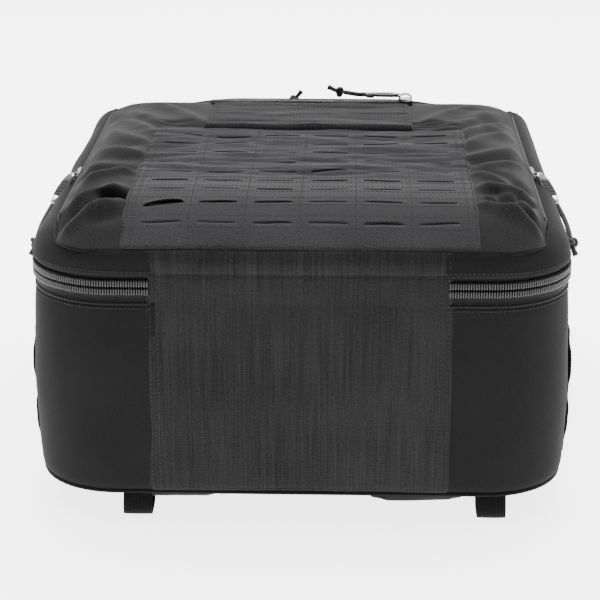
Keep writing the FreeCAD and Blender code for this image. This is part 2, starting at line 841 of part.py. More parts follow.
def zipPull(name, pivot, direction, normal, cordPoints, knotTail, longCord=False):
    # Flat tab with a metal end, a cord from that end, and the knot that stops it. pivot is
    # where the tab turns on its slider, and the cord's points are given about the pack's
    # centre. A cord too short to hang by itself is one piece with its knot.
    shift = Vector(0, -sizes["centre_shift"].value, 0)
    pivot = Vector(*pivot) + shift
    direction = Vector(*direction).normalize()
    normal = Vector(*normal)
    place = Placement(pivot, between(Vector(), direction, normal))
    width = sizes["tab_width"]
    thickness = sizes["tab_thickness"]
    tab = pulled(
        f"{name}_tab", place, (1.0, -width / 2, -thickness / 2),
        (sizes["tab_length"], width / 2, thickness / 2),
    )
    ferruleStart = sizes["tab_length"] - 2
    ferrule = rod(
        f"{name}_ferrule", place, ferruleStart, sizes["ferrule_length"], sizes["ferrule_radius"]
    )
    node(combined("MultiFuse", f"{name}_pull", tab, ferrule))
    reach = sizes["tab_length"].value - 2 + sizes["ferrule_length"].value
    cordStart = pivot + direction * reach
    straightRun = 7
    points = [cordStart, cordStart + direction * straightRun]
    points += [Vector(*point) + shift for point in cordPoints]
    cord = cordTube(f"{name}_cord", points, sizes["cord_diameter"].value)
    knotDirection = points[-1] - points[-2]
    tilted = normal + Vector(0.3, 0.2, 0.1)
    knotPlace = Placement(points[-1], between(Vector(), knotDirection, tilted))
    barrel = rod(f"{name}_knot_barrel", knotPlace, 0, sizes["knot_length"], sizes["knot_radius"])
    tail = rod(
        f"{name}_knot_tail", knotPlace, sizes["knot_length"] - 1, knotTail,
        sizes["cord_diameter"] / 2,
    )
    if longCord:
        node(cord)
        node(combined("MultiFuse", f"{name}_knot", barrel, tail))
    else:
        node(combined("MultiFuse", f"{name}_cord_end", cord, barrel, tail))


def cordTube(label, points, diameter):
    # Straight runs joined by tangent arcs, each as large as its two runs allow.
    edges = []
    start = points[0]
    length = 0
    for index in range(1, len(points) - 1):
        before = points[index] - points[index - 1]
        after = points[index + 1] - points[index]
        turn = before.getAngle(after)
        radius = 0.45 * min(before.Length, after.Length) / math.tan(turn / 2)
        reach = radius * math.tan(turn / 2)
        before.normalize()
        after.normalize()
        arcStart = points[index] - before * reach
        arcEnd = points[index] + after * reach
        bisector = (after - before).normalize()
        centre = points[index] + bisector * (radius / math.cos(turn / 2))
        middle = centre - bisector * radius
        edges.append(Part.LineSegment(start, arcStart).toShape())
        edges.append(Part.Arc(arcStart, middle, arcEnd).toShape())
        length += (arcStart - start).Length + radius * turn
        start = arcEnd
        print(f"{label}: radius {radius:.1f} at a turn of {math.degrees(turn):.0f} degrees")
    edges.append(Part.LineSegment(start, points[-1]).toShape())
    length += (points[-1] - start).Length
    path = Part.Wire(edges)
    circle = Part.Circle(points[0], points[1] - points[0], diameter / 2).toShape()
    tube = path.makePipeShell([Part.Wire([circle])], True, True)
    section = math.pi * diameter**2 / 4
    print(f"{label}: length {length:.1f}, volume over section x length "
          f"{tube.Volume / (section * length):.4f}")
    item = doc.addObject("Part::Feature", label)
    item.Label = label
    item.Shape = tube
    item.Placement = Placement()
    return item


def slider(name, centre, outward, along, low, high):
    # Cast slider: a plate in front of the coil and the bridge that the pull turns on.
    place = Placement(
        Vector(*centre) - Vector(0, sizes["centre_shift"].value, 0),
        Rotation(Vector(*outward), Vector(*along), Vector(), "XYZ"),
    )
    plate = pulled(f"{name}_plate", place, (0.4, -7, low), (2.4, 7, high))
    bridge = pulled(f"{name}_bridge", place, (2.4, -1.6, low + 2), (4.0, 1.6, high - 2))
    return node(combined("MultiFuse", f"{name}_slider", plate, bridge))


def faceHeight(y):
    # Height of the pocket's face above the floor on its long arc.
    radius = sizes["pocket_belly_radius"].value
    crown = Vector(
        sizes["pocket_crown_in"].value - pocketNear.value, crownLevel.value, 0
    )
    end = Vector(pocketFar.value + 1, pocketEndLevel.value, 0)
    arc = arcBetween(crown, end, radius, -1)
    return arc.Center.y + math.sqrt(radius**2 - (y - arc.Center.x) ** 2)


def zipSliders():
    coilFace = halfLength.value + sizes["zip_proud"].value
    level = zipLevel.value
    pivotOut = 6.5
    for name, x in (("main_left", -62), ("main_right", -45)):
        slider(name, (x, coilFace, level), (0, 1, 0), (-1, 0, 0), -7.5, 7.5)
    zipPull(
        "main_left", (-62, coilFace + pivotOut, level + 3), (1, 0.12, 0.2), (0, 1, 0.1),
        ((-20, coilFace + 10.5, level + 18),), 6,
    )
    zipPull(
        "main_right", (-45, coilFace + pivotOut, level - 3), (0, 0.05, -1), (0, 1, 0),
        ((-45.5, coilFace + 8.5, level - 49), (-44, coilFace + 8, level - 56)), 6,
    )
    pocketFace = pocketHalf.value + sizes["pocket_proud"].value
    pocketLevel = (lidTop + sizes["pocket_coil"] + gap).value
    for name, side, y in (("pocket_left", -1, -58), ("pocket_right", 1, -48)):
        centre = (pocketFace * side, y, pocketLevel)
        slider(name, centre, (side, 0, 0), (0, side, 0), -2, 6.5)
        pivot = ((pocketFace + pivotOut) * side, y - 2, pocketLevel + 2)
        bend = y - 35
        zipPull(
            name, pivot, (0.34 * side, -0.68, -0.52), (0.7 * side, 0, 0.7),
            (
                ((halfWidth.value + 10) * side, bend - 9, level + 4),
                ((halfWidth.value + 11) * side, bend - 21, level - 2),
            ),
            5.5, True,
        )
    zipMiddle = (
        sizes["loop_start"] - pocketNear + sizes["loop_length"] + 1
        + sizes["upper_zip_width"] / 2
    ).value
    zipTop = faceHeight(zipMiddle) + sizes["pocket_proud"].value
    slider("upper", (80, zipMiddle, zipTop + 0.5), (0, 0, 1), (1, 0, 0), -6, 6)
    zipPull(
        "upper", (77, zipMiddle, zipTop + pivotOut - 1), (-1, 0.05, 0), (0, 0, 1),
        ((28, zipMiddle + 6, zipTop + 6.5),), 7,
    )


backOfPack()
mainWalls()
mainZip()
lid()
pocket()
laserCutPanel()
upperEnd()
webbing()
harness()
grabHandle()
interior()
zipSliders()
doc.recompute()

for item in doc.Objects:
    if "Invalid" in item.State or "Error" in item.State:
        raise RuntimeError(f"{item.Label}: {item.State}")
os.makedirs("parts", exist_ok=True)
for item in nodes:
    if item.Shape.isNull() or not item.Shape.isValid():
        raise RuntimeError(f"{item.Label}: no valid shape")
for item in nodes:
    item.Shape.exportStep(f"parts/{item.Label}.step")
print(f"{len(nodes)} nodes written")
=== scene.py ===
import math

import bmesh
import bpy
import numpy as np
from mathutils import Matrix, Vector, noise
from mathutils.bvhtree import BVHTree


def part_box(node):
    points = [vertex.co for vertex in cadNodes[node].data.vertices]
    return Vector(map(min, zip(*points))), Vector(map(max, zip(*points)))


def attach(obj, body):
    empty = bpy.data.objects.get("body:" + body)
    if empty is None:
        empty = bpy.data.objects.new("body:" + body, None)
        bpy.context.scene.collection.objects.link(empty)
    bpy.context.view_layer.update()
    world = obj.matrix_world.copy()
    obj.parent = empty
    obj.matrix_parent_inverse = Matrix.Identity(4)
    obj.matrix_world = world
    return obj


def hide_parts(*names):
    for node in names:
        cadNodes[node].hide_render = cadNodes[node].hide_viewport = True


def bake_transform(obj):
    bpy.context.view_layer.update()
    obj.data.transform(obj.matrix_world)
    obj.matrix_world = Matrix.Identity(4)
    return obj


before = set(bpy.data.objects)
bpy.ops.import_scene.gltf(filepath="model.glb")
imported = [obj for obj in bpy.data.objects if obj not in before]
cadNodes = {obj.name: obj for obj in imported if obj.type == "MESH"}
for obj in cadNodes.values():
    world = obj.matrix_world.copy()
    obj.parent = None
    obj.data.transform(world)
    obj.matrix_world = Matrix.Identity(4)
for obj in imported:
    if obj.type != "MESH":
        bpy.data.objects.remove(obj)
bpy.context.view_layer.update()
mm = 0.001
scene = bpy.context.scene
print("frame loaded,", len(cadNodes), "nodes")


# Small tools for meshes and nodes. Lengths are in millimetres until a mesh is made.

def linear(hexColour):
    parts = [int(hexColour[i:i + 2], 16) / 255 for i in (1, 3, 5)]
    return [c / 12.92 if c <= 0.04045 else ((c + 0.055) / 1.055) ** 2.4 for c in parts] + [1.0]


def addNode(tree, kind, settings=None, links=None):
    # settings whose key is an input's name or number fill that input, the others are properties
    node = tree.nodes.new(kind)
    for key, value in (settings or {}).items():
        if isinstance(key, int) or key in node.inputs:
            node.inputs[key].default_value = value
        else:
            setattr(node, key, value)
    for key, source in (links or {}).items():
        tree.links.new(source, node.inputs[key])
    return node


def link(obj):
    scene.collection.objects.link(obj)
    return obj


def smooth(t):
    t = np.clip(t, 0, 1)
    return t * t * (3 - 2 * t)


def noiseAt(points, size, seed=0.0):
    # soft noise, about -1 to 1, with a bump every size millimetres along each axis
    size = size if hasattr(size, "__len__") else (size, size, size)
    flat = np.asarray(points, float).reshape(-1, 3) / np.array(size) + seed
    values = np.array([noise.noise(Vector(p)) for p in flat])
    return values.reshape(np.asarray(points).shape[:-1])


def meshFrom(name, points, faces, uv=None, smoothShade=True):
    mesh = bpy.data.meshes.new(name)
    mesh.from_pydata([tuple(p) for p in np.asarray(points, float) * mm], [], faces)
    if uv is not None:
        layer = mesh.uv_layers.new(name="cloth")
        corner = np.zeros(len(mesh.loops), int)
        mesh.loops.foreach_get("vertex_index", corner)
        layer.data.foreach_set("uv", (np.asarray(uv, float)[corner] * mm).astype(np.float32).ravel())
    if smoothShade:
        mesh.shade_smooth()
    return mesh


def gridFaces(rows, columns, closeRows=False, closeColumns=False, flip=False, first=0):
    faces = []
    for i in range(rows if closeRows else rows - 1):
        for j in range(columns if closeColumns else columns - 1):
            a = first + i * columns + j
            b = first + i * columns + (j + 1) % columns
            c = first + ((i + 1) % rows) * columns + (j + 1) % columns
            d = first + ((i + 1) % rows) * columns + j
            faces.append((d, c, b, a) if flip else (a, b, c, d))
    return faces


def gridPiece(name, grid, material, flip=False, closeRows=False, closeColumns=False, thick=0.0,
              uv=None, caps=False):
    # grid is rows x columns of points; its own lengths along both ways become the uv map
    grid = np.asarray(grid, float)
    rows, columns = grid.shape[:2]
    if uv is None:
        along = np.zeros((rows, columns))
        across = np.zeros((rows, columns))
        along[1:] = np.cumsum(np.linalg.norm(np.diff(grid, axis=0), axis=2).mean(1))[:, None]
        across[:, 1:] = np.cumsum(np.linalg.norm(np.diff(grid, axis=1), axis=2).mean(0))[None, :]
        uv = np.stack([along, across], axis=2)
    faces = gridFaces(rows, columns, closeRows, closeColumns, flip)
    if caps:
        ends = [tuple(range(columns)), tuple(range((rows - 1) * columns, rows * columns))]
        faces.append(ends[0] if flip else ends[0][::-1])
        faces.append(ends[1][::-1] if flip else ends[1])
    obj = link(bpy.data.objects.new(name, meshFrom(name, grid.reshape(-1, 3), faces, uv.reshape(-1, 2))))
    obj.data.materials.append(material)
    if thick:
        shell = obj.modifiers.new("thickness", "SOLIDIFY")
        shell.thickness = thick * mm
        shell.offset = -1
    return obj


def settle(obj, body, replaced=()):
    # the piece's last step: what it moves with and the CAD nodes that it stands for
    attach(obj, body)
    if replaced:
        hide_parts(*replaced)
    return obj


def joined(name, objects):
    objects = [o for o in objects if o is not None]
    mergedVerts, mergedFaces, mergedUv, slots, faceSlots, smoothFaces = [], [], [], [], [], []
    depsgraph = bpy.context.evaluated_depsgraph_get()
    for obj in objects:
        mesh = bpy.data.meshes.new_from_object(obj.evaluated_get(depsgraph))
        first = len(mergedVerts)
        mergedVerts += [tuple(v.co) for v in mesh.vertices]
        layer = mesh.uv_layers.get("cloth")
        for polygon in mesh.polygons:
            mergedFaces.append([first + i for i in polygon.vertices])
            mergedUv += [tuple(layer.data[i].uv) if layer else (0.0, 0.0) for i in polygon.loop_indices]
            material = mesh.materials[polygon.material_index]
            if material not in slots:
                slots.append(material)
            faceSlots.append(slots.index(material))
            smoothFaces.append(polygon.use_smooth)
        bpy.data.meshes.remove(mesh)
        bpy.data.objects.remove(obj)
    mesh = bpy.data.meshes.new(name)
    mesh.from_pydata(mergedVerts, [], mergedFaces)
    mesh.uv_layers.new(name="cloth").data.foreach_set("uv", np.array(mergedUv, np.float32).ravel())
    for material in slots:
        mesh.materials.append(material)
    mesh.polygons.foreach_set("material_index", faceSlots)
    mesh.polygons.foreach_set("use_smooth", smoothFaces)
    return link(bpy.data.objects.new(name, mesh))


# Outlines: a rounded rectangle walked anticlockwise from the middle of its near side.

def outline(half, near, far, nearRadius, farRadius):
    rows = []
    walked = 0.0

    def straight(start, end, normal):
        nonlocal walked
        length = math.dist(start, end)
        for t in np.linspace(0, 1, max(2, int(length))):
            rows.append((walked + length * t, start[0] + (end[0] - start[0]) * t,
                         start[1] + (end[1] - start[1]) * t, *normal))
        walked += length

    def corner(centre, radius, startAngle):
        nonlocal walked
        for t in np.linspace(0, 1, 40):
            a = startAngle + math.pi / 2 * t
            rows.append((walked + radius * math.pi / 2 * t, centre[0] + radius * math.cos(a),
                         centre[1] + radius * math.sin(a), math.cos(a), math.sin(a)))
        walked += radius * math.pi / 2

    quarter = math.pi / 2
    straight((0, near), (half - nearRadius, near), (0, -1))
    corner((half - nearRadius, near + nearRadius), nearRadius, -quarter)
    straight((half, near + nearRadius), (half, far - farRadius), (1, 0))
    corner((half - farRadius, far - farRadius), farRadius, 0)
    straight((half - farRadius, far), (farRadius - half, far), (0, 1))
    corner((farRadius - half, far - farRadius), farRadius, quarter)
    straight((-half, far - farRadius), (-half, near + nearRadius), (-1, 0))
    corner((nearRadius - half, near + nearRadius), nearRadius, 2 * quarter)
    straight((nearRadius - half, near), (0, near), (0, -1))
    return np.array(rows).T


def along(path, s, offset=0.0):
    # x, y and the outward direction at a distance s along an outline, moved out by offset
    x, y, nx, ny = (np.interp(s, path[0], path[i]) for i in (1, 2, 3, 4))
    return x + nx * offset, y + ny * offset, nx, ny


gussetLow, gussetHigh = (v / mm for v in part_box("gusset_right"))
panelLow, panelHigh = (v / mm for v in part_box("bottom_panel"))
pocketLow, pocketHigh = (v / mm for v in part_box("pocket_wall"))
faceLow, faceHigh = (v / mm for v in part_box("pocket_face"))
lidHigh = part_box("lid_panel")[1] / mm
body = {"half": gussetHigh.x, "near": gussetLow.y, "far": gussetHigh.y, "radius": 56.0,
        "bottom": gussetLow.z - 2, "wallTop": gussetHigh.z, "panelHalf": panelHigh.x}
bodyPath = outline(body["half"], body["near"], body["far"], body["radius"], body["radius"])
bodyRound = bodyPath[0][-1]
print("helpers ready")


# Materials. Each starts from what the real one is and how its surface was made.

def wave(period):
    # the scale at which a wave texture repeats every so many millimetres
    return math.pi / 10 / (period * mm)


def newMaterial(name):
    material = bpy.data.materials.new(name)
    material.use_nodes = True
    tree = material.node_tree
    tree.nodes.clear()
    shader = addNode(tree, "ShaderNodeBsdfPrincipled")
    addNode(tree, "ShaderNodeOutputMaterial", links={"Surface": shader.outputs[0]})
    return material, tree, shader


def clothMaterial(name, dark, light, warp=1.5, weft=1.5, slant=0.0, streak=0.0, sheen=0.04,
                  rough=0.92, bump=0.25, useUv=True, mottle=0.35, mottleSize=45.0,
                  weaveShare=0.45, grain=0.6, speck=1.5, yarn=(60.0, 1.6)):
    # Woven cloth: two crossed waves are the yarns, a slow noise is the wear and dye, a noise
    # drawn out along the warp is the uneven yarns that show as streaks.
    material, tree, shader = newMaterial(name)
    if useUv:
        place = addNode(tree, "ShaderNodeUVMap", {"uv_map": "cloth"}).outputs["UV"]
    else:
        place = addNode(tree, "ShaderNodeTexCoord").outputs["Object"]
    solid = addNode(tree, "ShaderNodeTexCoord").outputs["Object"]
    turned = addNode(tree, "ShaderNodeMapping", {"Rotation": (0, 0, slant)}, {"Vector": place})
    warpWave = addNode(tree, "ShaderNodeTexWave", {"bands_direction": "X", "Scale": wave(warp),
                       "Distortion": 0.6, "Detail": 1.0, "Detail Scale": 3.0}, {"Vector": turned.outputs[0]})
    weftWave = addNode(tree, "ShaderNodeTexWave", {"bands_direction": "Y", "Scale": wave(weft),
                       "Distortion": 0.6, "Detail": 1.0, "Detail Scale": 3.0}, {"Vector": turned.outputs[0]})
    weave = addNode(tree, "ShaderNodeMath", {"operation": "MULTIPLY"},
                    {0: warpWave.outputs["Fac"], 1: weftWave.outputs["Fac"]})
    cloud = addNode(tree, "ShaderNodeTexNoise", {"Scale": 1 / (mottleSize * mm), "Detail": 4.0,
                    "Roughness": 0.6}, {"Vector": solid})
    drawn = addNode(tree, "ShaderNodeMapping", {"Scale": (1000 / yarn[0], 1000 / yarn[1], 1.0)},
                    {"Vector": place})
    yarns = addNode(tree, "ShaderNodeTexNoise", {"Scale": 1.0, "Detail": 2.0}, {"Vector": drawn.outputs[0]})
    yarnPart = addNode(tree, "ShaderNodeMath", {"operation": "MULTIPLY_ADD", 1: streak, 2: -streak / 2},
                       {0: yarns.outputs["Fac"]})
    cloudPart = addNode(tree, "ShaderNodeMath", {"operation": "MULTIPLY_ADD", 1: mottle, 2: 0.3 - mottle / 2},
                        {0: cloud.outputs["Fac"]})
    weavePart = addNode(tree, "ShaderNodeMath", {"operation": "MULTIPLY_ADD", 1: weaveShare},
                        {0: weave.outputs[0], 2: cloudPart.outputs[0]})
    specks = addNode(tree, "ShaderNodeTexNoise", {"Scale": 1 / (speck * mm), "Detail": 1.0},
                     {"Vector": place})
    speckPart = addNode(tree, "ShaderNodeMath", {"operation": "MULTIPLY_ADD", 1: grain, 2: -grain / 2},
                        {0: specks.outputs["Fac"]})
    both = addNode(tree, "ShaderNodeMath", {"operation": "ADD"},
                   {0: weavePart.outputs[0], 1: speckPart.outputs[0]})
    tone = addNode(tree, "ShaderNodeMath", {"operation": "ADD", "use_clamp": True},
                   {0: both.outputs[0], 1: yarnPart.outputs[0]})
    colour = addNode(tree, "ShaderNodeMix", {"data_type": "RGBA", 6: linear(dark), 7: linear(light)},
                     {0: tone.outputs[0]})
    dent = addNode(tree, "ShaderNodeBump", {"Strength": bump, "Distance": 0.35 * mm},
                   {"Height": weave.outputs[0]})
    tree.links.new(colour.outputs[2], shader.inputs["Base Color"])
    tree.links.new(dent.outputs[0], shader.inputs["Normal"])
    shader.inputs["Roughness"].default_value = rough
    shader.inputs["Specular IOR Level"].default_value = 0.1
    shader.inputs["Sheen Weight"].default_value = sheen
    shader.inputs["Sheen Roughness"].default_value = 0.5
    return material


def spacerMaterial(name, dark, light, hole=3.6, useUv=True):
    # Spacer mesh: knitted cloth with rows of round holes, each one a dimple whose dark colour is painted shade
    # inside the hole.
    material, tree, shader = newMaterial(name)
    if useUv:
        place = addNode(tree, "ShaderNodeUVMap", {"uv_map": "cloth"}).outputs["UV"]
    else:
        place = addNode(tree, "ShaderNodeTexCoord").outputs["Object"]
    cells = addNode(tree, "ShaderNodeTexVoronoi", {"voronoi_dimensions": "2D", "Scale": 1 / (hole * mm),
                    "Randomness": 0.18}, {"Vector": place})
    ring = addNode(tree, "ShaderNodeMapRange", {"From Min": 0.22, "From Max": 0.38},
                   {"Value": cells.outputs["Distance"]})
    fine = addNode(tree, "ShaderNodeTexNoise", {"Scale": 1 / (1.1 * mm), "Detail": 2.0}, {"Vector": place})
    tone = addNode(tree, "ShaderNodeMath", {"operation": "MULTIPLY"},
                   {0: ring.outputs[0], 1: fine.outputs["Fac"]})
    colour = addNode(tree, "ShaderNodeMix", {"data_type": "RGBA", 6: linear(dark), 7: linear(light)},
                     {0: tone.outputs[0]})
    dent = addNode(tree, "ShaderNodeBump", {"Strength": 0.9, "Distance": 1.0 * mm},
                   {"Height": tone.outputs[0]})
    tree.links.new(colour.outputs[2], shader.inputs["Base Color"])
    tree.links.new(dent.outputs[0], shader.inputs["Normal"])
    shader.inputs["Roughness"].default_value = 0.85
    shader.inputs["Sheen Weight"].default_value = 0.2
    return material


def hardMaterial(name, dark, light, rough, metallic=0.0, grain=0.8, bump=0.1, coat=0.0):
    # Moulded plastic or cast metal: a fine grain in the colour, the gloss and the surface.
    material, tree, shader = newMaterial(name)
    solid = addNode(tree, "ShaderNodeTexCoord").outputs["Object"]
    fine = addNode(tree, "ShaderNodeTexNoise", {"Scale": 1 / (grain * mm), "Detail": 3.0}, {"Vector": solid})
    worn = addNode(tree, "ShaderNodeTexNoise", {"Scale": 1 / (9.0 * mm), "Detail": 4.0}, {"Vector": solid})
    both = addNode(tree, "ShaderNodeMath", {"operation": "MULTIPLY"},
                   {0: fine.outputs["Fac"], 1: worn.outputs["Fac"]})
    spread = addNode(tree, "ShaderNodeMapRange", {"From Min": 0.12, "From Max": 0.4},
                     {"Value": both.outputs[0]})
    colour = addNode(tree, "ShaderNodeMix", {"data_type": "RGBA", 6: linear(dark), 7: linear(light)},
                     {0: spread.outputs[0]})
    gloss = addNode(tree, "ShaderNodeMapRange", {"To Min": rough - 0.08, "To Max": rough + 0.12},
                    {"Value": worn.outputs["Fac"]})
    dent = addNode(tree, "ShaderNodeBump", {"Strength": bump, "Distance": 0.2 * mm},
                   {"Height": fine.outputs["Fac"]})
    tree.links.new(colour.outputs[2], shader.inputs["Base Color"])
    tree.links.new(gloss.outputs[0], shader.inputs["Roughness"])
    tree.links.new(dent.outputs[0], shader.inputs["Normal"])
    shader.inputs["Metallic"].default_value = metallic
    shader.inputs["Coat Weight"].default_value = coat
    return material


def braidMaterial(name, dark, light, pitch=2.4):
    # Braided cord: two sets of strands that cross, drawn coarse enough to show.
    material, tree, shader = newMaterial(name)
    place = addNode(tree, "ShaderNodeTexCoord").outputs["Object"]
    one = addNode(tree, "ShaderNodeTexWave", {"bands_direction": "DIAGONAL", "Scale": wave(pitch) * 1.2},
                  {"Vector": place})
    turned = addNode(tree, "ShaderNodeMapping", {"Rotation": (0.4, 1.2, 1.6)}, {"Vector": place})
    two = addNode(tree, "ShaderNodeTexWave", {"bands_direction": "DIAGONAL", "Scale": wave(pitch) * 1.2},
                  {"Vector": turned.outputs[0]})
    both = addNode(tree, "ShaderNodeMath", {"operation": "MULTIPLY"},
                   {0: one.outputs["Fac"], 1: two.outputs["Fac"]})
    colour = addNode(tree, "ShaderNodeMix", {"data_type": "RGBA", 6: linear(dark), 7: linear(light)},
                     {0: both.outputs[0]})
    dent = addNode(tree, "ShaderNodeBump", {"Strength": 0.6, "Distance": 0.5 * mm},
                   {"Height": both.outputs[0]})
    tree.links.new(colour.outputs[2], shader.inputs["Base Color"])
    tree.links.new(dent.outputs[0], shader.inputs["Normal"])
    shader.inputs["Roughness"].default_value = 0.75
    shader.inputs["Sheen Weight"].default_value = 0.2
    return material


# Plain-weave coated nylon, 500 denier: matt, small specks where yarns cross. A yarn is 0.5 mm
# wide, drawn three times as coarse so that it shows.
# Its colours are set darker than the end panel's, which is the same cloth, as painted shade on the side walls and
# their corners.
plainNylonPaintedShade = clothMaterial("plainWeaveNylon", "#060606", "#1f1f20", slant=0.785, warp=1.25, weft=1.25,
                           sheen=0.02)
# The end panel is the same cloth with its warp upright, where uneven yarns show as streaks.
endNylon = clothMaterial("plainWeaveNylonUprightWarp", "#090909", "#303031", streak=0.7, warp=1.25, weft=1.25,
                         sheen=0.02,
                         weaveShare=0.3, yarn=(1.4, 70.0))
# The pocket is a softer cloth whose yarns read as a fine slant.
# Its colours are set darker as painted shade on the pocket's shaded sides and near corners.
pocketNylonPaintedShade = clothMaterial("twillFaceNylonPaintedShade", "#070707", "#2c2c2d", slant=0.785, warp=1.2, weft=1.6, bump=0.3,
                            sheen=0.04, grain=0.8)
# Laser-cut laminate: two layers of nylon glued together, a little smoother; its lighter colour is painted light
# falling on the top.
laminate = clothMaterial("nylonLaminatePaintedTopLight", "#080808", "#3d3d3f", slant=0.785, warp=1.5, weft=1.5, bump=0.3,
                         sheen=0.05, grain=0.65, weaveShare=0.7)
# Coated lining cloth, thin and smooth, on the insides.
liningNylon = clothMaterial("liningTaffeta", "#0c0c0c", "#2a2a2b", warp=1.0, weft=1.0, bump=0.15, rough=0.75)
# Woven binding tape and webbing: coarse ribs across the tape.
webbingNylon = clothMaterial("wovenWebbing", "#040404", "#19191a", warp=1.2, weft=2.4, bump=0.9, rough=0.85,
                             mottle=0.2)
bindingTape = clothMaterial("foldedBindingTape", "#030303", "#151515", warp=1.0, weft=2.0, bump=0.6,
                            mottle=0.2)
# Knitted zip tape, dense and a little shiny along its ribs.
zipTape = clothMaterial("knittedZipTape", "#060606", "#1a1a1b", warp=0.9, weft=1.8, bump=0.6, rough=0.65,
                        mottle=0.15)
# Brushed loop cloth: short fibres that swallow the light.
loopCloth = clothMaterial("brushedLoopCloth", "#0a0a0b", "#2e2e30", warp=1.9, weft=1.4, bump=1.0, sheen=0.06,
                          rough=0.95)
spacerMeshPaintedHoleShade = spacerMaterial("spacerMeshPaintedHoleShade", "#040404", "#2c2c2d")
# Sewing thread, bonded polyester, nearly black: darker than the cloth as painted shade along the stitch lines.
threadPaintedStitchShade = hardMaterial("sewingThreadPaintedShade", "#010101", "#0c0c0c", 0.85, grain=0.4)
# Moulded nylon coil: smooth, dark, with a small highlight on each tooth.
coilNylon = hardMaterial("mouldedZipCoil", "#050505", "#101010", 0.3, grain=0.5, coat=0.05)
# Die-cast zinc slider with black paint, worn to metal on its edges.
sliderMetal = hardMaterial("paintedZincSlider", "#4a4a4b", "#a8a8a8", 0.3, metallic=0.9)
# Bright plated ferrule that grips the cord.
ferruleMetal = hardMaterial("platedFerrule", "#c9c9c7", "#f2f2f0", 0.18, metallic=1.0, bump=0.03)
# Rubbery moulded tab.
tabRubber = hardMaterial("mouldedPullTab", "#030303", "#0e0e0e", 0.55)
# Acetal buckles: hard, smooth, slightly waxy.
acetal = hardMaterial("mouldedAcetal", "#080808", "#1b1b1c", 0.38)
cordNylon = braidMaterial("braidedNylonCord", "#030303", "#1c1c1d")
closedFoam = hardMaterial("closedCellFoam", "#2a2b2d", "#4c4d50", 0.85, grain=1.2, bump=0.6)
sheetPlastic = hardMaterial("polyethyleneSheet", "#131416", "#2a2c2f", 0.45, grain=3.0)
print("materials ready")


# Repeats along a path: one tree puts a part at even steps along a line of points. The line's
# "up" attribute says which way the part's top faces.

def repeatTree():
    tree = bpy.data.node_groups.new("partsAlongLine", "GeometryNodeTree")
    for name, kind, direction in (("Line", "NodeSocketGeometry", "INPUT"),
                                  ("Part", "NodeSocketObject", "INPUT"),
                                  ("Step", "NodeSocketFloat", "INPUT"),
                                  ("Unevenness", "NodeSocketFloat", "INPUT"),
                                  ("Seed", "NodeSocketInt", "INPUT"),
                                  ("Finish", "NodeSocketMaterial", "INPUT"),
                                  ("Parts", "NodeSocketGeometry", "OUTPUT")):
        tree.interface.new_socket(name, in_out=direction, socket_type=kind)
    given = addNode(tree, "NodeGroupInput")
    line = addNode(tree, "GeometryNodeMeshToCurve", links={0: given.outputs["Line"]})
    stepped = addNode(tree, "GeometryNodeResampleCurve", {"mode": "LENGTH"},
                      {"Curve": line.outputs[0], "Length": given.outputs["Step"]})
    tangent = addNode(tree, "GeometryNodeInputTangent")
    up = addNode(tree, "GeometryNodeInputNamedAttribute", {"data_type": "FLOAT_VECTOR", "Name": "up"})
    alongLine = addNode(tree, "FunctionNodeAlignRotationToVector", {"axis": "X"},
                        {"Vector": tangent.outputs[0]})
    facing = addNode(tree, "FunctionNodeAlignRotationToVector", {"axis": "Z", "pivot_axis": "X"},
                     {"Rotation": alongLine.outputs[0], "Vector": up.outputs[0]})
    smallest = addNode(tree, "ShaderNodeMath", {"operation": "SUBTRACT", 0: 1.0},
                       {1: given.outputs["Unevenness"]})
    size = addNode(tree, "FunctionNodeRandomValue", {"data_type": "FLOAT"}, {"Seed": given.outputs["Seed"]})
    for socket in size.inputs:
        if socket.name == "Min" and socket.type == "VALUE":
            tree.links.new(smallest.outputs[0], socket)
        if socket.name == "Max" and socket.type == "VALUE":
            socket.default_value = 1.0
    part = addNode(tree, "GeometryNodeObjectInfo", links={"Object": given.outputs["Part"]})
    sizeOut = [o for o in size.outputs if o.type == "VALUE"][0]
    placed = addNode(tree, "GeometryNodeInstanceOnPoints",
                     links={"Points": stepped.outputs[0], "Instance": part.outputs["Geometry"],
                            "Rotation": facing.outputs[0], "Scale": sizeOut})
    real = addNode(tree, "GeometryNodeRealizeInstances", links={0: placed.outputs[0]})
    finished = addNode(tree, "GeometryNodeSetMaterial",
                       links={0: real.outputs[0], "Material": given.outputs["Finish"]})
    addNode(tree, "NodeGroupOutput", links={0: finished.outputs[0]})
    return tree


partsAlongLine = repeatTree()


def repeatAlong(name, lines, part, step, material, unevenness=0.0, seed=1, above=0.0):
    # lines is a list of (points, ups), each point and up a row of three numbers
    points, ups, edges = [], [], []
    for linePoints, lineUps in lines:
        first = len(points)
        lineUps = np.broadcast_to(np.asarray(lineUps, float), np.asarray(linePoints).shape)
        rise = lineUps / np.linalg.norm(lineUps, axis=1,
                                        keepdims=True) * above     # clear of the cloth's thickness
        points += [tuple(p) for p in (np.asarray(linePoints, float) + rise) * mm]
        ups += [tuple(u) for u in lineUps]
        edges += [(first + i, first + i + 1) for i in range(len(linePoints) - 1)]
    mesh = bpy.data.meshes.new(name)
    mesh.from_pydata(points, edges, [])
    mesh.attributes.new("up", "FLOAT_VECTOR", "POINT").data.foreach_set("vector",
                                                                        np.array(ups, np.float32).ravel())
    obj = link(bpy.data.objects.new(name, mesh))
    nodes = obj.modifiers.new("repeat", "NODES")
    nodes.node_group = partsAlongLine
    identifiers = {item.name: item.identifier for item in partsAlongLine.interface.items_tree
                   if item.in_out == "INPUT"}
    values = {"Part": part, "Step": step * mm, "Unevenness": unevenness, "Seed": seed, "Finish": material}
    for key, value in values.items():
        nodes[identifiers[key]] = value
    depsgraph = bpy.context.evaluated_depsgraph_get()
    obj.data = bpy.data.meshes.new_from_object(obj.evaluated_get(depsgraph))
    obj.data.shade_smooth()
    obj.modifiers.clear()
    return obj


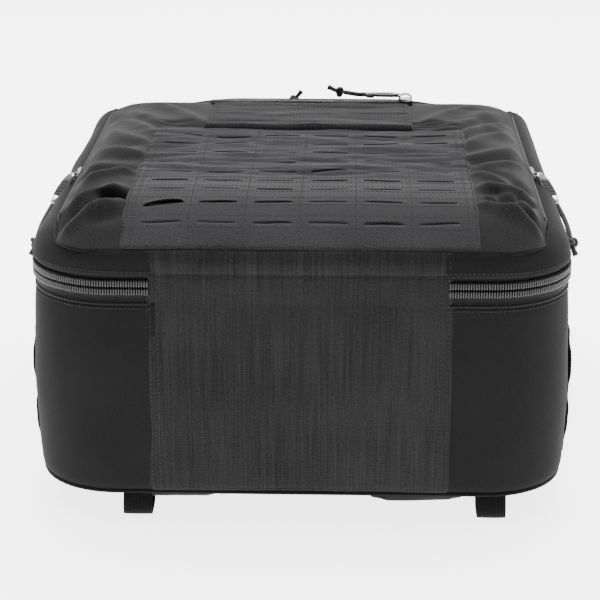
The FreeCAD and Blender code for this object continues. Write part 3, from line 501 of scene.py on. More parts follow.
def tubePoints(points, radius, sides=8):
    # rings of points round a line of points; radius is one number or one for each point
    points = np.asarray(points, float)
    radius = np.broadcast_to(radius, len(points))
    rings = []
    reference = None
    for i, point in enumerate(points):
        ahead = points[min(i + 1, len(points) - 1)] - points[max(i - 1, 0)]
        ahead = ahead / max(np.linalg.norm(ahead), 1e-9)
        if reference is None:
            reference = np.array((0, 0, 1.0)) if abs(ahead[2]) < 0.9 else np.array((1.0, 0, 0))
        side = np.cross(ahead, reference)
        side /= np.linalg.norm(side)
        reference = np.cross(side, ahead)
        angles = np.arange(sides) * 2 * math.pi / sides
        rings.append(point + radius[i] * (np.cos(angles)[:, None] * side + np.sin(angles)[:,
                                                                                          None] * reference))
    return np.array(rings)


def tubePiece(name, points, radius, material, sides=8, closed=False):
    return gridPiece(name, tubePoints(points, radius, sides), material, flip=True, closeRows=closed,
                     closeColumns=True, caps=not closed)


def helperPart(name, points, faces):
    # a small shape that only the repeats use: it is never in the scene itself
    mesh = meshFrom(name, points, faces)
    return bpy.data.objects.new(name, mesh)


def stitchShape(length=2.4, width=1.0, height=0.35):
    rows = []
    for t, size in ((-1, 0.25), (-0.6, 1.0), (0.6, 1.0), (1, 0.25)):
        ring = [(t * length / 2, math.cos(a) * width / 2 * size, math.sin(a) * height * size)
                for a in np.linspace(0, math.pi, 4)]
        rows.append(ring)
    grid = np.array(rows)
    return helperPart("stitch", grid.reshape(-1, 3), gridFaces(4, 4))


def toothShape(reach, height, thick):
    # one turn of a zip's coil, seen from its side: a low arch across half of the zip
    arch = [(-reach, -0.4), (-reach, height * 0.6), (-reach * 0.66, height), (0, height * 0.72),
            (reach * 0.66, height), (reach, height * 0.6), (reach, -0.2)]
    rings = tubePoints([(0, y, z) for y, z in arch], thick, 6)
    return helperPart("coilTurn", rings.reshape(-1, 3), gridFaces(len(arch), 6, closeColumns=True, flip=True))


stitch = stitchShape()
bigTooth = toothShape(2.6, 2.5, 0.62)
smallTooth = toothShape(1.5, 1.5, 0.42)


def stitchLine(points, ups, lift=0.15):
    points = np.asarray(points, float)
    ups = np.broadcast_to(np.asarray(ups, float), points.shape)
    return points + ups * lift, ups


# The side walls: soft padded cloth round both sides and all four corners, with the small bulge
# and the shallow dents of a filled bag.
wallLook = {"bulge": 3.2, "bottomRound": 7.0, "dent": 1.0, "levels": 40, "step": 5.0, "thickness": 1.6}


def wallOffset(s, z, nx, ny, seed=0.0):
    height = (z - body["bottom"]) / (body["wallTop"] - body["bottom"])
    swell = wallLook["bulge"] * np.sin(np.pi * np.clip(height, 0, 1)) ** 0.8
    under = np.clip(1 - (z - body["bottom"]) / wallLook["bottomRound"], 0, 1)
    tuck = wallLook["bottomRound"] * (1 - np.sqrt(1 - under ** 2)) * 0.7
    corner = (np.abs(nx) > 0.05) & (np.abs(ny) > 0.05)
    place = np.stack([s, s * 0, z], axis=-1)
    soft = noiseAt(place, (75.0, 50.0, 48.0), 3.1 + seed) * wallLook["dent"] * 1.6
    creases = (0.5 - np.abs(noiseAt(place, (26.0, 30.0, 90.0),
                                    7.7 + seed))) * wallLook["dent"] * np.where(corner, 0.9, 0.35)
    inner = np.sin(np.pi * np.clip(height, 0, 1)) ** 0.5
    return swell - tuck + (soft + creases) * inner


def wallPiece(name, start, stop, replaced):
    s = np.linspace(start, stop, int((stop - start) / wallLook["step"]) + 1)
    z = np.linspace(body["bottom"] + 0.6, body["wallTop"] + 1.0, wallLook["levels"])
    sGrid, zGrid = np.meshgrid(s, z, indexing="ij")
    _, _, nx, ny = along(bodyPath, sGrid)
    offset = wallOffset(sGrid, zGrid, nx, ny)
    x, y, _, _ = along(bodyPath, sGrid, offset)
    wall = gridPiece(name, np.stack([x, y, zGrid], axis=-1), plainNylonPaintedShade, thick=wallLook["thickness"])
    return settle(wall, "pack", replaced)


panelEdge = body["panelHalf"]
wallPiece("wall_right", panelEdge - 6, bodyRound / 2 - panelEdge + 6, ["gusset_right"])
wallPiece("wall_left", bodyRound / 2 + panelEdge - 6, bodyRound - panelEdge + 6, ["gusset_left"])

# The far wall between the two side walls.
s = np.linspace(bodyRound / 2 - panelEdge, bodyRound / 2 + panelEdge, 46)
z = np.linspace(body["bottom"] + 0.6, body["wallTop"] + 1.0, 34)
sGrid, zGrid = np.meshgrid(s, z, indexing="ij")
_, _, nx, ny = along(bodyPath, sGrid)
x, y, _, _ = along(bodyPath, sGrid, wallOffset(sGrid, zGrid, nx, ny, 5.0) * 0.6 + 0.5)
farWall = gridPiece("wall_far", np.stack([x, y, zGrid], axis=-1), plainNylonPaintedShade, thick=1.6)
settle(farWall, "pack", ["top_panel"])

# The end panel runs from the back edge up to the pocket's front seam, over both ends of the main
# zip, and is the lid's hinge. It stands proud of the zip, with its edges folded under.
endPanel = {"proud": 0.9, "bottom": body["bottom"] + 0.4, "top": 195.6, "edgeRound": 3.0, "sag": 1.1}


def endPanelPoint(x, z):
    t = np.clip((z - endPanel["bottom"]) / (endPanel["top"] - endPanel["bottom"]), 0, 1)
    edge = np.clip(1 - (panelEdge - np.abs(x)) / endPanel["edgeRound"], 0, 1)
    proud = endPanel["proud"] * (1 - 0.55 * edge ** 2)
    under = np.clip(1 - (z - endPanel["bottom"]) / 7.0, 0, 1)
    place = np.stack([x, x * 0, z], axis=-1)
    soft = noiseAt(place, (60.0, 40.0, 42.0), 11.3) * endPanel["sag"]
    ripple = noiseAt(place, (34.0, 30.0, 9.0), 4.4) * 0.35 * smooth((z - 150) / 30)
    over = smooth((z - 188) / 12) * 4.2
    fold = -0.9 * np.exp(-((z - 181.5) / 1.6) ** 2)
    height = np.clip((z - body["bottom"]) / (body["wallTop"] - body["bottom"]), 0, 1)
    swell = wallLook["bulge"] * np.sin(np.pi * height) ** 0.8
    y = body["near"] - proud - swell - soft * (1 - edge) - ripple + over - fold + 4.5 * under ** 2
    return np.stack([x, y, z], axis=-1)


x = np.linspace(-panelEdge, panelEdge, 84)
z = np.concatenate([np.linspace(endPanel["bottom"], 150, 44), np.linspace(152, endPanel["top"], 30)])
xGrid, zGrid = np.meshgrid(x, z, indexing="ij")
panelGrid = endPanelPoint(xGrid, zGrid)
turned = [panelGrid[:, -1:] + np.array([0, inward, rise]) for inward,
          rise in ((1.2, 0.7), (4.5, 1.0), (10, 1.0))]
panelGrid = np.concatenate([panelGrid] + turned, axis=1)    # its top turns in under the pocket
bottomPanel = gridPiece("end_panel", panelGrid, endNylon, thick=1.4)
seamUps = (0, -1, 0)
zSeam = np.linspace(endPanel["bottom"] + 3, 194, 60)
seamLines = [stitchLine(endPanelPoint(np.full(60, side * (panelEdge - inset)), zSeam), seamUps)
             for side in (-1, 1) for inset in (2.6, 7.6)]
xHem = np.linspace(4 - panelEdge, panelEdge - 4, 60)
seamLines += [stitchLine(endPanelPoint(xHem, np.full(60, 24.5)), seamUps)]
seamStitches = repeatAlong("end_panel_stitches", seamLines, stitch, 3.1, threadPaintedStitchShade, 0.2, 2, 1.5)
bottomPanel = joined("end_panel_sewn", [bottomPanel, seamStitches])
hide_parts("bottom_panel", "lid_hinge_panel")
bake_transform(bottomPanel)
print("walls ready")

# The main zip: two knitted tapes and two rows of moulded coil, from one edge of the end panel
# right round to the other.
mainZip = {"low": 160.2, "middle": 172.0, "high": 184.0, "pitch": 1.75, "proud": 0.6}
zipFrom, zipTo = panelEdge - 3, bodyRound - panelEdge + 3


def zipDip(s):
    # the tape sways a little up and down, less at its two ends
    ends = smooth((s - zipFrom) / 60) * smooth((zipTo - s) / 60)
    return 1.1 * ends * noiseAt(np.stack([s, s * 0, s * 0], axis=-1), (120.0, 1.0, 1.0), 2.2)


def tapePiece(name, levels, offsets, material, flip=False):
    s = np.arange(zipFrom, zipTo, 4.0)
    grid = []
    for z, offset in zip(levels, offsets):
        x, y, _, _ = along(bodyPath, s, offset)
        grid.append(np.stack([x, y, z + zipDip(s)], axis=-1))
    return gridPiece(name, np.array(grid).transpose(1, 0, 2), material, flip=flip, thick=0.9)


lowTape = tapePiece("main_zip_tape_low", (159.2, 160.4, 163, 165.4, 168.5, 171.7),
                    (1.7, 1.5, 0.6, 0.5, 0.5, 0.4), zipTape)
highTape = tapePiece("main_zip_tape_high", (172.2, 175.5, 178.6, 181, 184.5), (0.4, 0.5, 0.5, 0.3, -0.4),
                     zipTape)
s = np.arange(zipFrom + 1, zipTo - 1, 3.0)
lowLine, highLine, lowEdge, hemLow, tapeHigh = [], [], [], [], []
for offset, level, rows in ((1.0, 169.2, lowLine), (1.0, 174.9, highLine)):
    x, y, nx, ny = along(bodyPath, s, offset)
    rows.append((np.stack([x, y, level + zipDip(s)], axis=-1), np.stack([nx, ny, nx * 0], axis=-1)))
for offset, level, rows in ((1.9, 161.6, lowEdge), (2.6, 157.0, hemLow), (0.9, 180.0, tapeHigh)):
    x, y, nx, ny = along(bodyPath, s, offset)
    rows.append((np.stack([x, y, level + zipDip(s)], axis=-1), np.stack([nx, ny, nx * 0], axis=-1)))
lowTeeth = repeatAlong("main_zip_low_teeth", lowLine, bigTooth, mainZip["pitch"], coilNylon)
highTeeth = repeatAlong("main_zip_high_teeth", highLine, bigTooth, mainZip["pitch"], coilNylon)
lowThread = repeatAlong("main_zip_low_thread", lowEdge, stitch, 3.1, threadPaintedStitchShade, 0.2, 3)
hemThread = repeatAlong("main_zip_hem_thread", hemLow, stitch, 3.1, threadPaintedStitchShade, 0.2, 4)
highThread = repeatAlong("main_zip_high_thread", tapeHigh, stitch, 3.1, threadPaintedStitchShade, 0.2, 5)
# The binding that closes the wall's top edge over the tape.
x, y, nx, ny = along(bodyPath, s, 1.5)
binding = tubePiece("wall_binding", np.stack([x, y, 160.6 + zipDip(s)], axis=-1), 1.25, bindingTape, 6)
settle(joined("main_zip_body_visual", [lowTape, lowTeeth, lowThread, hemThread, binding]), "pack",
       ["main_zip_body"])
settle(joined("main_zip_lid_visual", [highTape, highTeeth, highThread]), "lid", ["main_zip_lid"])
print("main zip ready")

# The lid: its rim hangs over the upper tape, rolls over and turns in to the flat top under the
# pocket. It is steep at the near end, where the pocket comes nearly to the edge.
lidLook = {"rimLow": 180.6, "rimTop": lidHigh.z + 0.2, "slopeIn": 13.0, "nearIn": 4.5, "turnIn": 34.0,
           "farSag": 8.5, "nearSag": 2.6}


def farSag(x, y):
    # how far the slack lid sinks toward its far corners
    return lidLook["farSag"] * smooth((np.abs(x) - 66) / 84) * smooth((y - 152) / 36)


def lidProfile(s, t):
    # t from 0 at the rim's hem to 1 at the piping, then on to 2 on the flat top
    _, _, nx, ny = along(bodyPath, s)
    nearSide = smooth((-ny - 0.25) / 0.6) * smooth((-ny - 0.2) / 0.3)
    reach = lidLook["slopeIn"] - (lidLook["slopeIn"] - lidLook["nearIn"]) * nearSide
    angle = np.clip(t, 0, 1) * math.pi / 2
    offset = 2.2 - (reach + 2.2) * (1 - np.cos(angle)) - np.clip(t - 1, 0, 1) * lidLook["turnIn"]
    z = lidLook["rimLow"] + (lidLook["rimTop"] - lidLook["rimLow"]) * np.sin(angle)
    place = np.stack([s, t * 20, s * 0], axis=-1)
    puff = noiseAt(place, (46.0, 16.0, 1.0), 21.0) * 1.2 * np.sin(np.pi * np.clip(t, 0, 1))
    sway = noiseAt(place, (80.0, 60.0, 1.0), 25.0) * 1.3 * np.clip(1 - t, 0, 1)
    x, y, _, _ = along(bodyPath, s, offset + puff)
    z = z - farSag(x, y) * np.clip(t, 0, 1) - lidLook["nearSag"] * nearSide * np.clip(t, 0, 1)
    return np.stack([x, y, z + sway + puff * 0.4], axis=-1)


s = np.arange(panelEdge - 5, bodyRound - panelEdge + 5, 4.0)
t = np.concatenate([np.linspace(0, 1, 15), np.linspace(1.12, 2, 6)])
sGrid, tGrid = np.meshgrid(s, t, indexing="ij")
lidRim = gridPiece("lid_rim", lidProfile(sGrid, tGrid), plainNylonPaintedShade, thick=1.2)
hemStitch = []
x, y, z = lidProfile(s, np.full(len(s), 0.1)).T
_, _, nx, ny = along(bodyPath, s)
hemStitch.append((np.stack([x + nx * 0.2, y + ny * 0.2, z], axis=-1),
                  np.stack([nx, ny, nx * 0 + 0.2], axis=-1)))
rimStitches = repeatAlong("lid_hem_stitches", hemStitch, stitch, 3.1, threadPaintedStitchShade, 0.2, 6, 1.2)
hemLine = lidProfile(s, np.zeros(len(s)))
hemTape = tubePiece("lid_hem_tape", hemLine, 0.95, bindingTape, 6)
settle(joined("lid_rim_sewn", [lidRim, rimStitches, hemTape]), "lid", ["lid_gusset"])

# The flat of the lid, closed cloth on both sides, mostly under the pocket.
inset = outline(body["half"] - 16, body["near"] + 5.5, body["far"] - 16, 38.0, 40.0)
total = inset[0][-1]
ringS = np.linspace(0, total, 121)[:-1]
rows = []
for k, share in enumerate(np.linspace(1, 0.02, 16)):
    x, y, _, _ = along(inset, ringS)
    cx, cy = 0.0, (body["near"] + body["far"]) / 2
    ring = np.stack([cx + (x - cx) * share, cy + (y - cy) * share,
                     x * 0 + lidHigh.z - 0.6 - 2.2 * smooth((share - 0.6) / 0.3)], axis=-1)
    ring[:, 2] += noiseAt(ring, (70.0, 60.0, 40.0), 31.0) * 0.5 - farSag(ring[:, 0], ring[:, 1]) * 1.2
    rows.append(ring)
lidTopGrid = np.array(rows)
lidFlat = gridPiece("lid_flat", lidTopGrid, liningNylon, closeColumns=True, thick=1.2,
                    uv=lidTopGrid[:, :, :2])
settle(lidFlat, "lid", ["lid_panel"])

# The piping along the top of the lid's slope.
x, y, z = lidProfile(s, np.ones(len(s))).T
piping = tubePiece("lid_piping_cord", np.stack([x, y, z + 0.7], axis=-1), 1.35, bindingTape, 8)
settle(piping, "lid", ["lid_piping"])
print("lid ready")


# The front pocket: slack cloth over a rounded rectangle, with a sloping nose at the near end, a
# long belly and soft sides. Its folds are ridges and hollows along lines across the cloth.
pocket = {"half": pocketHigh.x, "near": faceLow.y - 3.6, "far": pocketHigh.y - 0.5, "nearRadius": 26.0,
          "farRadius": 44.0, "base": lidHigh.z - 2.6, "side": pocketLow.z, "crown": faceHigh.z - 0.6,
          "crownY": body["near"] + 96.0, "noseCurve": 2.8, "settled": 8.0, "farTop": faceLow.z + 9.9,
          "shoulder": 30.0,
          "columns": 200, "rows": 220}

# ridges: start x, y, end x, y, width, height, and how much deeper one side of it is
pocketFolds = [
    (124, -196, 152, -216, 5.0, 4.5, 0.6), (128, -204, 168, -226, 6.0, 5.0, 0.8),
    (150, -186, 166, -212, 4.5, 3.5, -0.6), (132, -186, 150, -176, 5.0, 3.0, 0.7),
    (126, -160, 160, -168, 9.0, 5.5, -0.5), (128, -182, 138, -196, 3.5, 2.6, 0.5),
    (124, -120, 150, -150, 7.0, 3.5, 0.4),
    (-124, -196, -150, -214, 7.0, 3.6, 0.5), (-126, -206, -167, -228, 6.0, 4.5, -0.7),
    (-128, -166, -163, -186, 6.5, 5.0, 0.7), (-124, -128, -160, -134, 7.0, 5.5, -0.6),
    (-136, -182, -160, -196, 5.0, 2.5, 0.6),
    (122, -52, 160, 10, 8.0, 3.4, 0.5), (120, -84, 164, -40, 8.0, 3.6, -0.5),
    (118, -20, 158, 52, 9.0, 3.4, 0.5),
    (108, 18, 150, 96, 9.0, 3.6, -0.5), (96, 44, 138, 126, 9.0, 3.0, 0.5),
    (128, -106, 166, -80, 7.0, 3.0, 0.5),
    (-122, -48, -160, 12, 8.0, 3.2, 0.5), (-120, -84, -164, -46, 8.0, 3.8, 0.5),
    (-118, -16, -156, 56, 9.0, 3.4, -0.5),
    (-106, 22, -150, 92, 9.0, 3.2, 0.5), (-94, 50, -136, 128, 9.0, 3.0, -0.5),
    (-128, -112, -166, -92, 7.0, 3.4, 0.6),
]
# hollows: x, y, half-widths along x and y, depth
pocketHollows = [(-131, -184, 10, 8, 15.0), (-156, -160, 12, 12, 5.0), (-160, -203, 7, 13, 8.0),
                 (-150, -112, 20, 10, 5.0),
                 (140, -188, 7, 8, 6.0), (150, -146, 16, 12, 5.0), (158, -176, 9, 8, 6.0),
                 (134, -206, 9, 6, 3.0)]


pocketOverhangs = [(-137, -169, 15, 8, 0, -9, 2.0), (-146, -198, 16, 8, 3, 5, 1.5),
                   (134, -176, 7, 7, 3, 4, 1.0),
                   (150, -200, 14, 7, 2, -4, 1.0)]


def roundedSquare(u, v, shape):
    # spreads a square grid over a rounded rectangle, a quarter disc in each corner
    x = u * shape["half"]
    middle, reach = (shape["near"] + shape["far"]) / 2, (shape["far"] - shape["near"]) / 2
    y = v * reach
    radius = np.where(v < 0, shape["nearRadius"], shape["farRadius"])
    a = (np.abs(x) - (shape["half"] - radius)) / radius
    b = (np.abs(y) - (reach - radius)) / radius
    inCorner = (a > 0) & (b > 0)
    big = np.maximum(a, b)
    angle = np.where(a >= b, math.pi / 4 * b / np.maximum(a, 1e-9),
                     math.pi / 2 - math.pi / 4 * a / np.maximum(b, 1e-9))
    x = np.where(inCorner, np.sign(x) * (shape["half"] - radius + radius * big * np.cos(angle)), x)
    y = np.where(inCorner, np.sign(y) * (reach - radius + radius * big * np.sin(angle)), y)
    return x, y + middle


def edgeDistance(x, y, shape):
    middle, reach = (shape["near"] + shape["far"]) / 2, (shape["far"] - shape["near"]) / 2
    radius = np.where(y < middle, shape["nearRadius"], shape["farRadius"])
    a = np.abs(x) - (shape["half"] - radius)
    b = np.abs(y - middle) - (reach - radius)
    outside = np.hypot(np.maximum(a, 0), np.maximum(b, 0)) + np.minimum(np.maximum(a, b), 0)
    return radius - outside


def pocketTop(y):
    # the height of the belly along the pocket's middle
    near, reach = pocket["near"], pocket["crownY"] - pocket["near"]
    t = np.clip((y - body["near"] - 56) / (pocket["far"] - body["near"] - 56), 0, 1)
    belly = pocket["crown"] + (pocket["farTop"] - pocket["crown"]) * (t ** 1.25)
    belly = belly - pocket["settled"] * (1 - smooth((y - pocket["crownY"]) / 150))
    d = np.clip((y - near) / reach, 0, 1)
    return pocket["base"] + (belly - pocket["base"]) * (1 - (1 - d) ** pocket["noseCurve"])


def foldHeight(x, y, folds, hollows):
    height = np.zeros_like(x)
    for x0, y0, x1, y1, width, size, lean in folds:
        length = math.hypot(x1 - x0, y1 - y0)
        ax, ay = (x1 - x0) / length, (y1 - y0) / length
        walk = ((x - x0) * ax + (y - y0) * ay) / length
        bend = 0.12 * length * np.sin(np.pi * np.clip(walk, 0, 1)) * (1 if lean > 0 else -1) * 0.5
        across = ((x - x0) * -ay + (y - y0) * ax - bend) / width
        ends = smooth((walk + 0.15) / 0.35) * smooth((1.15 - walk) / 0.35)
        height += size * ends * (np.exp(-across ** 2) - 0.55 * np.exp(-((across - np.sign(lean) * 1.5) / 1.1) ** 2))
    for cx, cy, wide, deep, depth in hollows:
        height -= depth * np.exp(-((x - cx) / wide) ** 2 - ((y - cy) / deep) ** 2)
    return height


def pocketHeight(x, y, wrinkled=True):
    edge = edgeDistance(x, y, pocket)
    nearSide = smooth((pocket["near"] + 62 - y) / 40)
    rim = pocket["side"] + (pocket["base"] - pocket["side"]) * nearSide
    sideShare = 1 - np.clip((pocket["half"] - np.abs(x)) / (pocket["shoulder"] + 8 * (1 - nearSide)), 0, 1)
    farShare = 1 - np.clip((pocket["far"] - y) / 26, 0, 1)
    cornerShare = np.clip(1 - edge / 16, 0, 1)
    share = np.clip(1 - np.maximum(np.maximum(sideShare, farShare) ** 2.2, 0), 0, 1) ** 0.6
    top = pocketTop(y)
    z = rim + (top - rim) * np.where(top > rim, share, 1) * (1 - 0.75 * cornerShare ** 2 * sideShare)
    z = np.maximum(z, pocket["base"] - 1.5)
    if wrinkled:
        inside = smooth(edge / 14)
        place = np.stack([x, y, z * 0], axis=-1)
        z = z + foldHeight(x, y, pocketFolds, pocketHollows) * smooth(edge / 9)
        loose = noiseAt(place, (44.0, 30.0, 1.0), 5.5) * 1.7 + noiseAt(place, (17.0, 14.0, 1.0), 9.1) * 0.55
        z = z + loose * inside * smooth((np.abs(x) - 100) / 30)
    return z


def panelRipple(x, y):
    # the cut panel lies in small waves that run across it, more of them farther up
    place = np.stack([x, y + 3 * np.sin(x / 34.0), x * 0], axis=-1)
    amount = smooth((y - (pocket["crownY"] - 6)) / 40)
    waves = 0.5 - np.abs(noiseAt(place, (58.0, 9.0, 1.0), 13.3)) * 2
    broad = noiseAt(place, (90.0, 21.0, 1.0), 17.9)
    return amount * (waves * 2.0 + broad * 2.5) + (1 - amount) * noiseAt(place, (60.0, 40.0, 1.0), 3.3) * 0.8


u = np.linspace(-1, 1, pocket["columns"])
v = np.linspace(-1, 1, pocket["rows"])
u = np.sign(u) * (1 - (1 - np.abs(u)) ** 1.25)
uGrid, vGrid = np.meshgrid(u, v, indexing="ij")
xGrid, yGrid = roundedSquare(uGrid, vGrid, pocket)
zGrid = pocketHeight(xGrid, yGrid)
underPanel = smooth((124 - np.abs(xGrid)) / 10) * smooth((pocket["crownY"] + 205 - yGrid) / 10)
zGrid = zGrid + underPanel * (panelRipple(xGrid,
                                          yGrid) - 2.2 * smooth(edgeDistance(xGrid, yGrid, pocket) / 12))
clothUv = np.stack([xGrid, yGrid], axis=-1)
# where the slack cloth topples over a hollow: x, y, half-widths, and how far it moves
for cx, cy, wide, deep, dx, dy, dz in pocketOverhangs:
    amount = np.exp(-((xGrid - cx) / wide) ** 2 - ((yGrid - cy) / deep) ** 2)
    xGrid, yGrid, zGrid = xGrid + dx * amount, yGrid + dy * amount, zGrid + dz * amount
pocketCloth = gridPiece("pocket_cloth", np.stack([xGrid, yGrid, zGrid], axis=-1), pocketNylonPaintedShade, thick=1.0,
                        uv=clothUv)

# The wall below the cloth, down to the zip, and the bound seam that joins them.
rimPath = outline(pocket["half"], pocket["near"], pocket["far"], pocket["nearRadius"], pocket["farRadius"])
rimS = np.linspace(0, rimPath[0][-1], 300)[:-1]
x, y, nx, ny = along(rimPath, rimS, -0.4)
rimZ = pocketHeight(x, y, False)
seam = tubePiece("pocket_seam", np.stack([x, y, rimZ], axis=-1), 1.1, bindingTape, 6, closed=True)
skirtLow = np.minimum(rimZ - 0.5, pocket["side"] + 0.2)
skirt = gridPiece("pocket_skirt", np.stack([np.stack([x + nx * o, y + ny * o,
                                                      skirtLow + (rimZ - skirtLow) * t], axis=-1)
                  for t, o in ((1, 0.3), (0.5, 0.9), (0, 0.3))]).transpose(1, 0, 2), pocketNylonPaintedShade,
                  closeRows=True,
                  thick=1.0)
pocketSewn = joined("pocket_cloth_sewn", [pocketCloth, seam, skirt])
settle(pocketSewn, "pocket_flap", ["pocket_face", "pocket_wall"])
print("pocket ready")

# The cut panel: laminate sewn on at its edges and between the columns of slits. Each slit is a
# real cut whose upper lip lifts, most at the near rows.
panelLow, panelHigh = (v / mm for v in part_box("laser_cut_panel"))
cut = {"half": panelHigh.x, "near": pocket["near"] + 0.6, "far": panelHigh.y, "slit": 28.5, "pitchX": 38.1,
       "pitchY": 25.4,
       "firstRow": -224.0, "rows": 9, "columns": 6, "lift": 1.3, "thick": 0.8}
slitX = [(c - 2.5) * cut["pitchX"] for c in range(cut["columns"])]
slitY = [cut["firstRow"] + r * cut["pitchY"] for r in range(cut["rows"])]
slitGap = [0.65, 0.8, 0.45, 0.55, 0.45, 0.5, 0.45, 0.5, 0.45]


def panelHeight(x, y):
    base = pocketHeight(x, y, False) + panelRipple(x, y)
    edge = np.clip((cut["half"] - np.abs(x)) / 3.0, 0, 1)
    return base + cut["lift"] * (0.35 + 0.65 * edge)


xs = [-cut["half"], -cut["half"] + 1.2]
for centre in slitX:
    xs += list(centre + np.linspace(-0.5, 0.5, 15) * cut["slit"])
xs += [(slitX[i] + slitX[i + 1]) / 2 + d for i in range(5) for d in (-2.4, 0, 2.4)]
xs += list(np.linspace(slitX[-1] + cut["slit"] / 2 + 3, cut["half"] - 1.2, 4)) + [cut["half"]]
xs += list(-np.linspace(slitX[-1] + cut["slit"] / 2 + 3, cut["half"] - 1.2, 4))
xs = np.unique(np.round(xs, 3))
ys, kinds = [], []       # a slit's row comes twice: its lower lip, then its upper lip
edgesY = [cut["near"]] + slitY + [cut["far"]]
for k in range(len(edgesY) - 1):
    steps = np.linspace(edgesY[k], edgesY[k + 1], 11 if k else 8)
    inner = steps[1:-1]
    if k == 0:
        ys.append(steps[0]); kinds.append((0, -1))
    for value in inner:
        ys.append(value); kinds.append((0, -1))
    if k < len(slitY):
        ys += [edgesY[k + 1]] * 2
        kinds += [(-1, k), (1, k)]
    else:
        ys.append(edgesY[-1]); kinds.append((0, -1))
points = []
rng = np.random.default_rng(7)
tilts = rng.uniform(-1, 1, (cut["rows"], cut["columns"]))
opens = rng.uniform(0.35, 1.3, (cut["rows"], cut["columns"]))
opens[1, 0], tilts[1, 0] = 3.0, 0.0
opens[1, 1], opens[0, 0] = 1.3, 0.8
for yValue, (lip, row) in zip(ys, kinds):
    x = xs.copy()
    y = np.full(len(x), yValue)
    lift = np.zeros(len(x))
    if lip:
        for column, centre in enumerate(slitX):
            t = (x - centre) / (cut["slit"] / 2)
            inSlit = np.abs(t) <= 1.001
            lens = np.sqrt(np.clip(1 - np.abs(t) ** 2.6, 0, 1)) * inSlit
            gap = slitGap[row] * opens[row, column]
            y = y + lip * lens * gap * (0.75 if lip > 0 else 0.45) + lens * tilts[row, column] * 0.5 * t
            lift = lift + lens * (gap * 0.9 if lip > 0 else -0.15 * gap)
    else:
        # the cloth just above a slit stands with its lip, and settles back over a few millimetres
        for row2, ySlit in enumerate(slitY):
            d = yValue - ySlit
            if 0 < d < 9:
                for column, centre in enumerate(slitX):
                    t = np.abs(x - centre) / (cut["slit"] / 2)
                    lens = np.sqrt(np.clip(1 - t ** 2.6, 0, 1))
                    gap = slitGap[row2] * opens[row2, column]
                    lift = lift + lens * gap * 0.9 * (1 - d / 9) ** 2
                    y = y + lens * gap * 0.5 * (1 - d / 9)
    wander = noiseAt(np.stack([x, y, x * 0], axis=-1), (30.0, 16.0, 1.0), 61.0)
    y = y + wander * 1.5 * smooth((yValue - cut["near"]) / 20) * smooth((cut["far"] - yValue) / 10)
    # the sheet is drawn toward the near left corner, which slants the slit there
    y = y - 7.5 * np.exp(-((x + 116) / 19) ** 2 - ((yValue - slitY[1]) / 11) ** 2)
    edge = 1 - np.clip((cut["half"] - np.abs(x)) / 1.5, 0, 1)
    z = panelHeight(x, y) + lift - edge * 0.8
    points.append(np.stack([x, y, z], axis=-1))
grid = np.array(points)
rows, columns = grid.shape[:2]
faces = []
for i in range(rows - 1):
    openRow = kinds[i][0] == -1 and kinds[i + 1][0] == 1
    if openRow:
        continue
    faces += [(a, b, c, d) for a, b, c, d in gridFaces(2, columns, first=i * columns, flip=True)]
weld = {}
for i in range(rows - 1):
    if kinds[i][0] == -1:
        for j in range(columns):
            if np.linalg.norm(grid[i, j] - grid[i + 1, j]) < 0.02:
                weld[(i + 1) * columns + j] = i * columns + j
faces = [tuple(weld.get(index, index) for index in face) for face in faces]
panelMesh = meshFrom("cut_panel", grid.reshape(-1, 3), faces, grid[:, :, :2].reshape(-1, 2))
used = np.zeros(rows * columns, bool)
used[[index for face in faces for index in face]] = True
cutPanel = link(bpy.data.objects.new("cut_panel", panelMesh))
panelMesh.materials.append(laminate)
shell = cutPanel.modifiers.new("thickness", "SOLIDIFY")
shell.thickness = cut["thick"] * mm
shell.offset = -1


def onPanel(x, y, lift=0.25):
    x, y = np.broadcast_arrays(np.asarray(x, float), np.asarray(y, float))
    return np.stack([x, y, panelHeight(x, y) + lift], axis=-1)


panelStitches = []
yLine = np.linspace(cut["near"] + 2, cut["far"] - 2, 120)
for xLine in [side * (cut["half"] - inset) for side in (-1, 1) for inset in (2.2, 7.5)] + \
        [(slitX[i] + slitX[i + 1]) / 2 for i in range(5)]:
    panelStitches.append((onPanel(xLine, yLine), (0, 0, 1)))
xLine = np.linspace(3 - cut["half"], cut["half"] - 3, 100)
for ySlit in slitY:
    panelStitches.append((onPanel(xLine, ySlit - 4.6), (0, 0, 1)))
    panelStitches.append((onPanel(xLine, ySlit + 7.4), (0, 0, 1)))
panelThread = repeatAlong("cut_panel_stitches", panelStitches, stitch, 3.0, threadPaintedStitchShade, 0.25, 8, 0.6)
settle(joined("cut_panel_sewn", [cutPanel, panelThread]), "pocket_flap", ["laser_cut_panel"])
print("cut panel ready")

# The loop panel, with a thick turned edge towards the slits.
loopLow, loopHigh = (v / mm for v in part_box("loop_panel"))
xs = np.concatenate([[loopLow.x], np.linspace(loopLow.x + 1.5, loopHigh.x - 1.5, 60), [loopHigh.x]])
ys = np.concatenate([[loopLow.y - 1.5, loopLow.y - 1.0, loopLow.y],
                     np.linspace(loopLow.y + 2, loopHigh.y - 2, 50), [loopHigh.y]])
xGrid, yGrid = np.meshgrid(xs, ys, indexing="ij")
raised = 3.4 * np.clip(1 - (yGrid - loopLow.y) / 22, 0, 1) ** 0.6 + 1.6
edge = np.minimum(np.clip((loopHigh.x - np.abs(xGrid)) / 1.5, 0, 1),
                  np.clip((yGrid - loopLow.y + 1.5) / 1.5, 0, 1))
zGrid = pocketHeight(xGrid, yGrid, False) + panelRipple(xGrid, yGrid) * 0.6 + raised * edge - (1 - edge) * 0.6
loopPiece = gridPiece("loop_panel_cloth", np.stack([xGrid, yGrid, zGrid], axis=-1), loopCloth, thick=1.4,
                      uv=np.stack([xGrid, yGrid], axis=-1))
x, y, z = (np.stack([xs[1:-1], xs[1:-1] * 0 + loopLow.y + 1.0, zGrid[1:-1, 3] + 0.2], axis=-1)).T
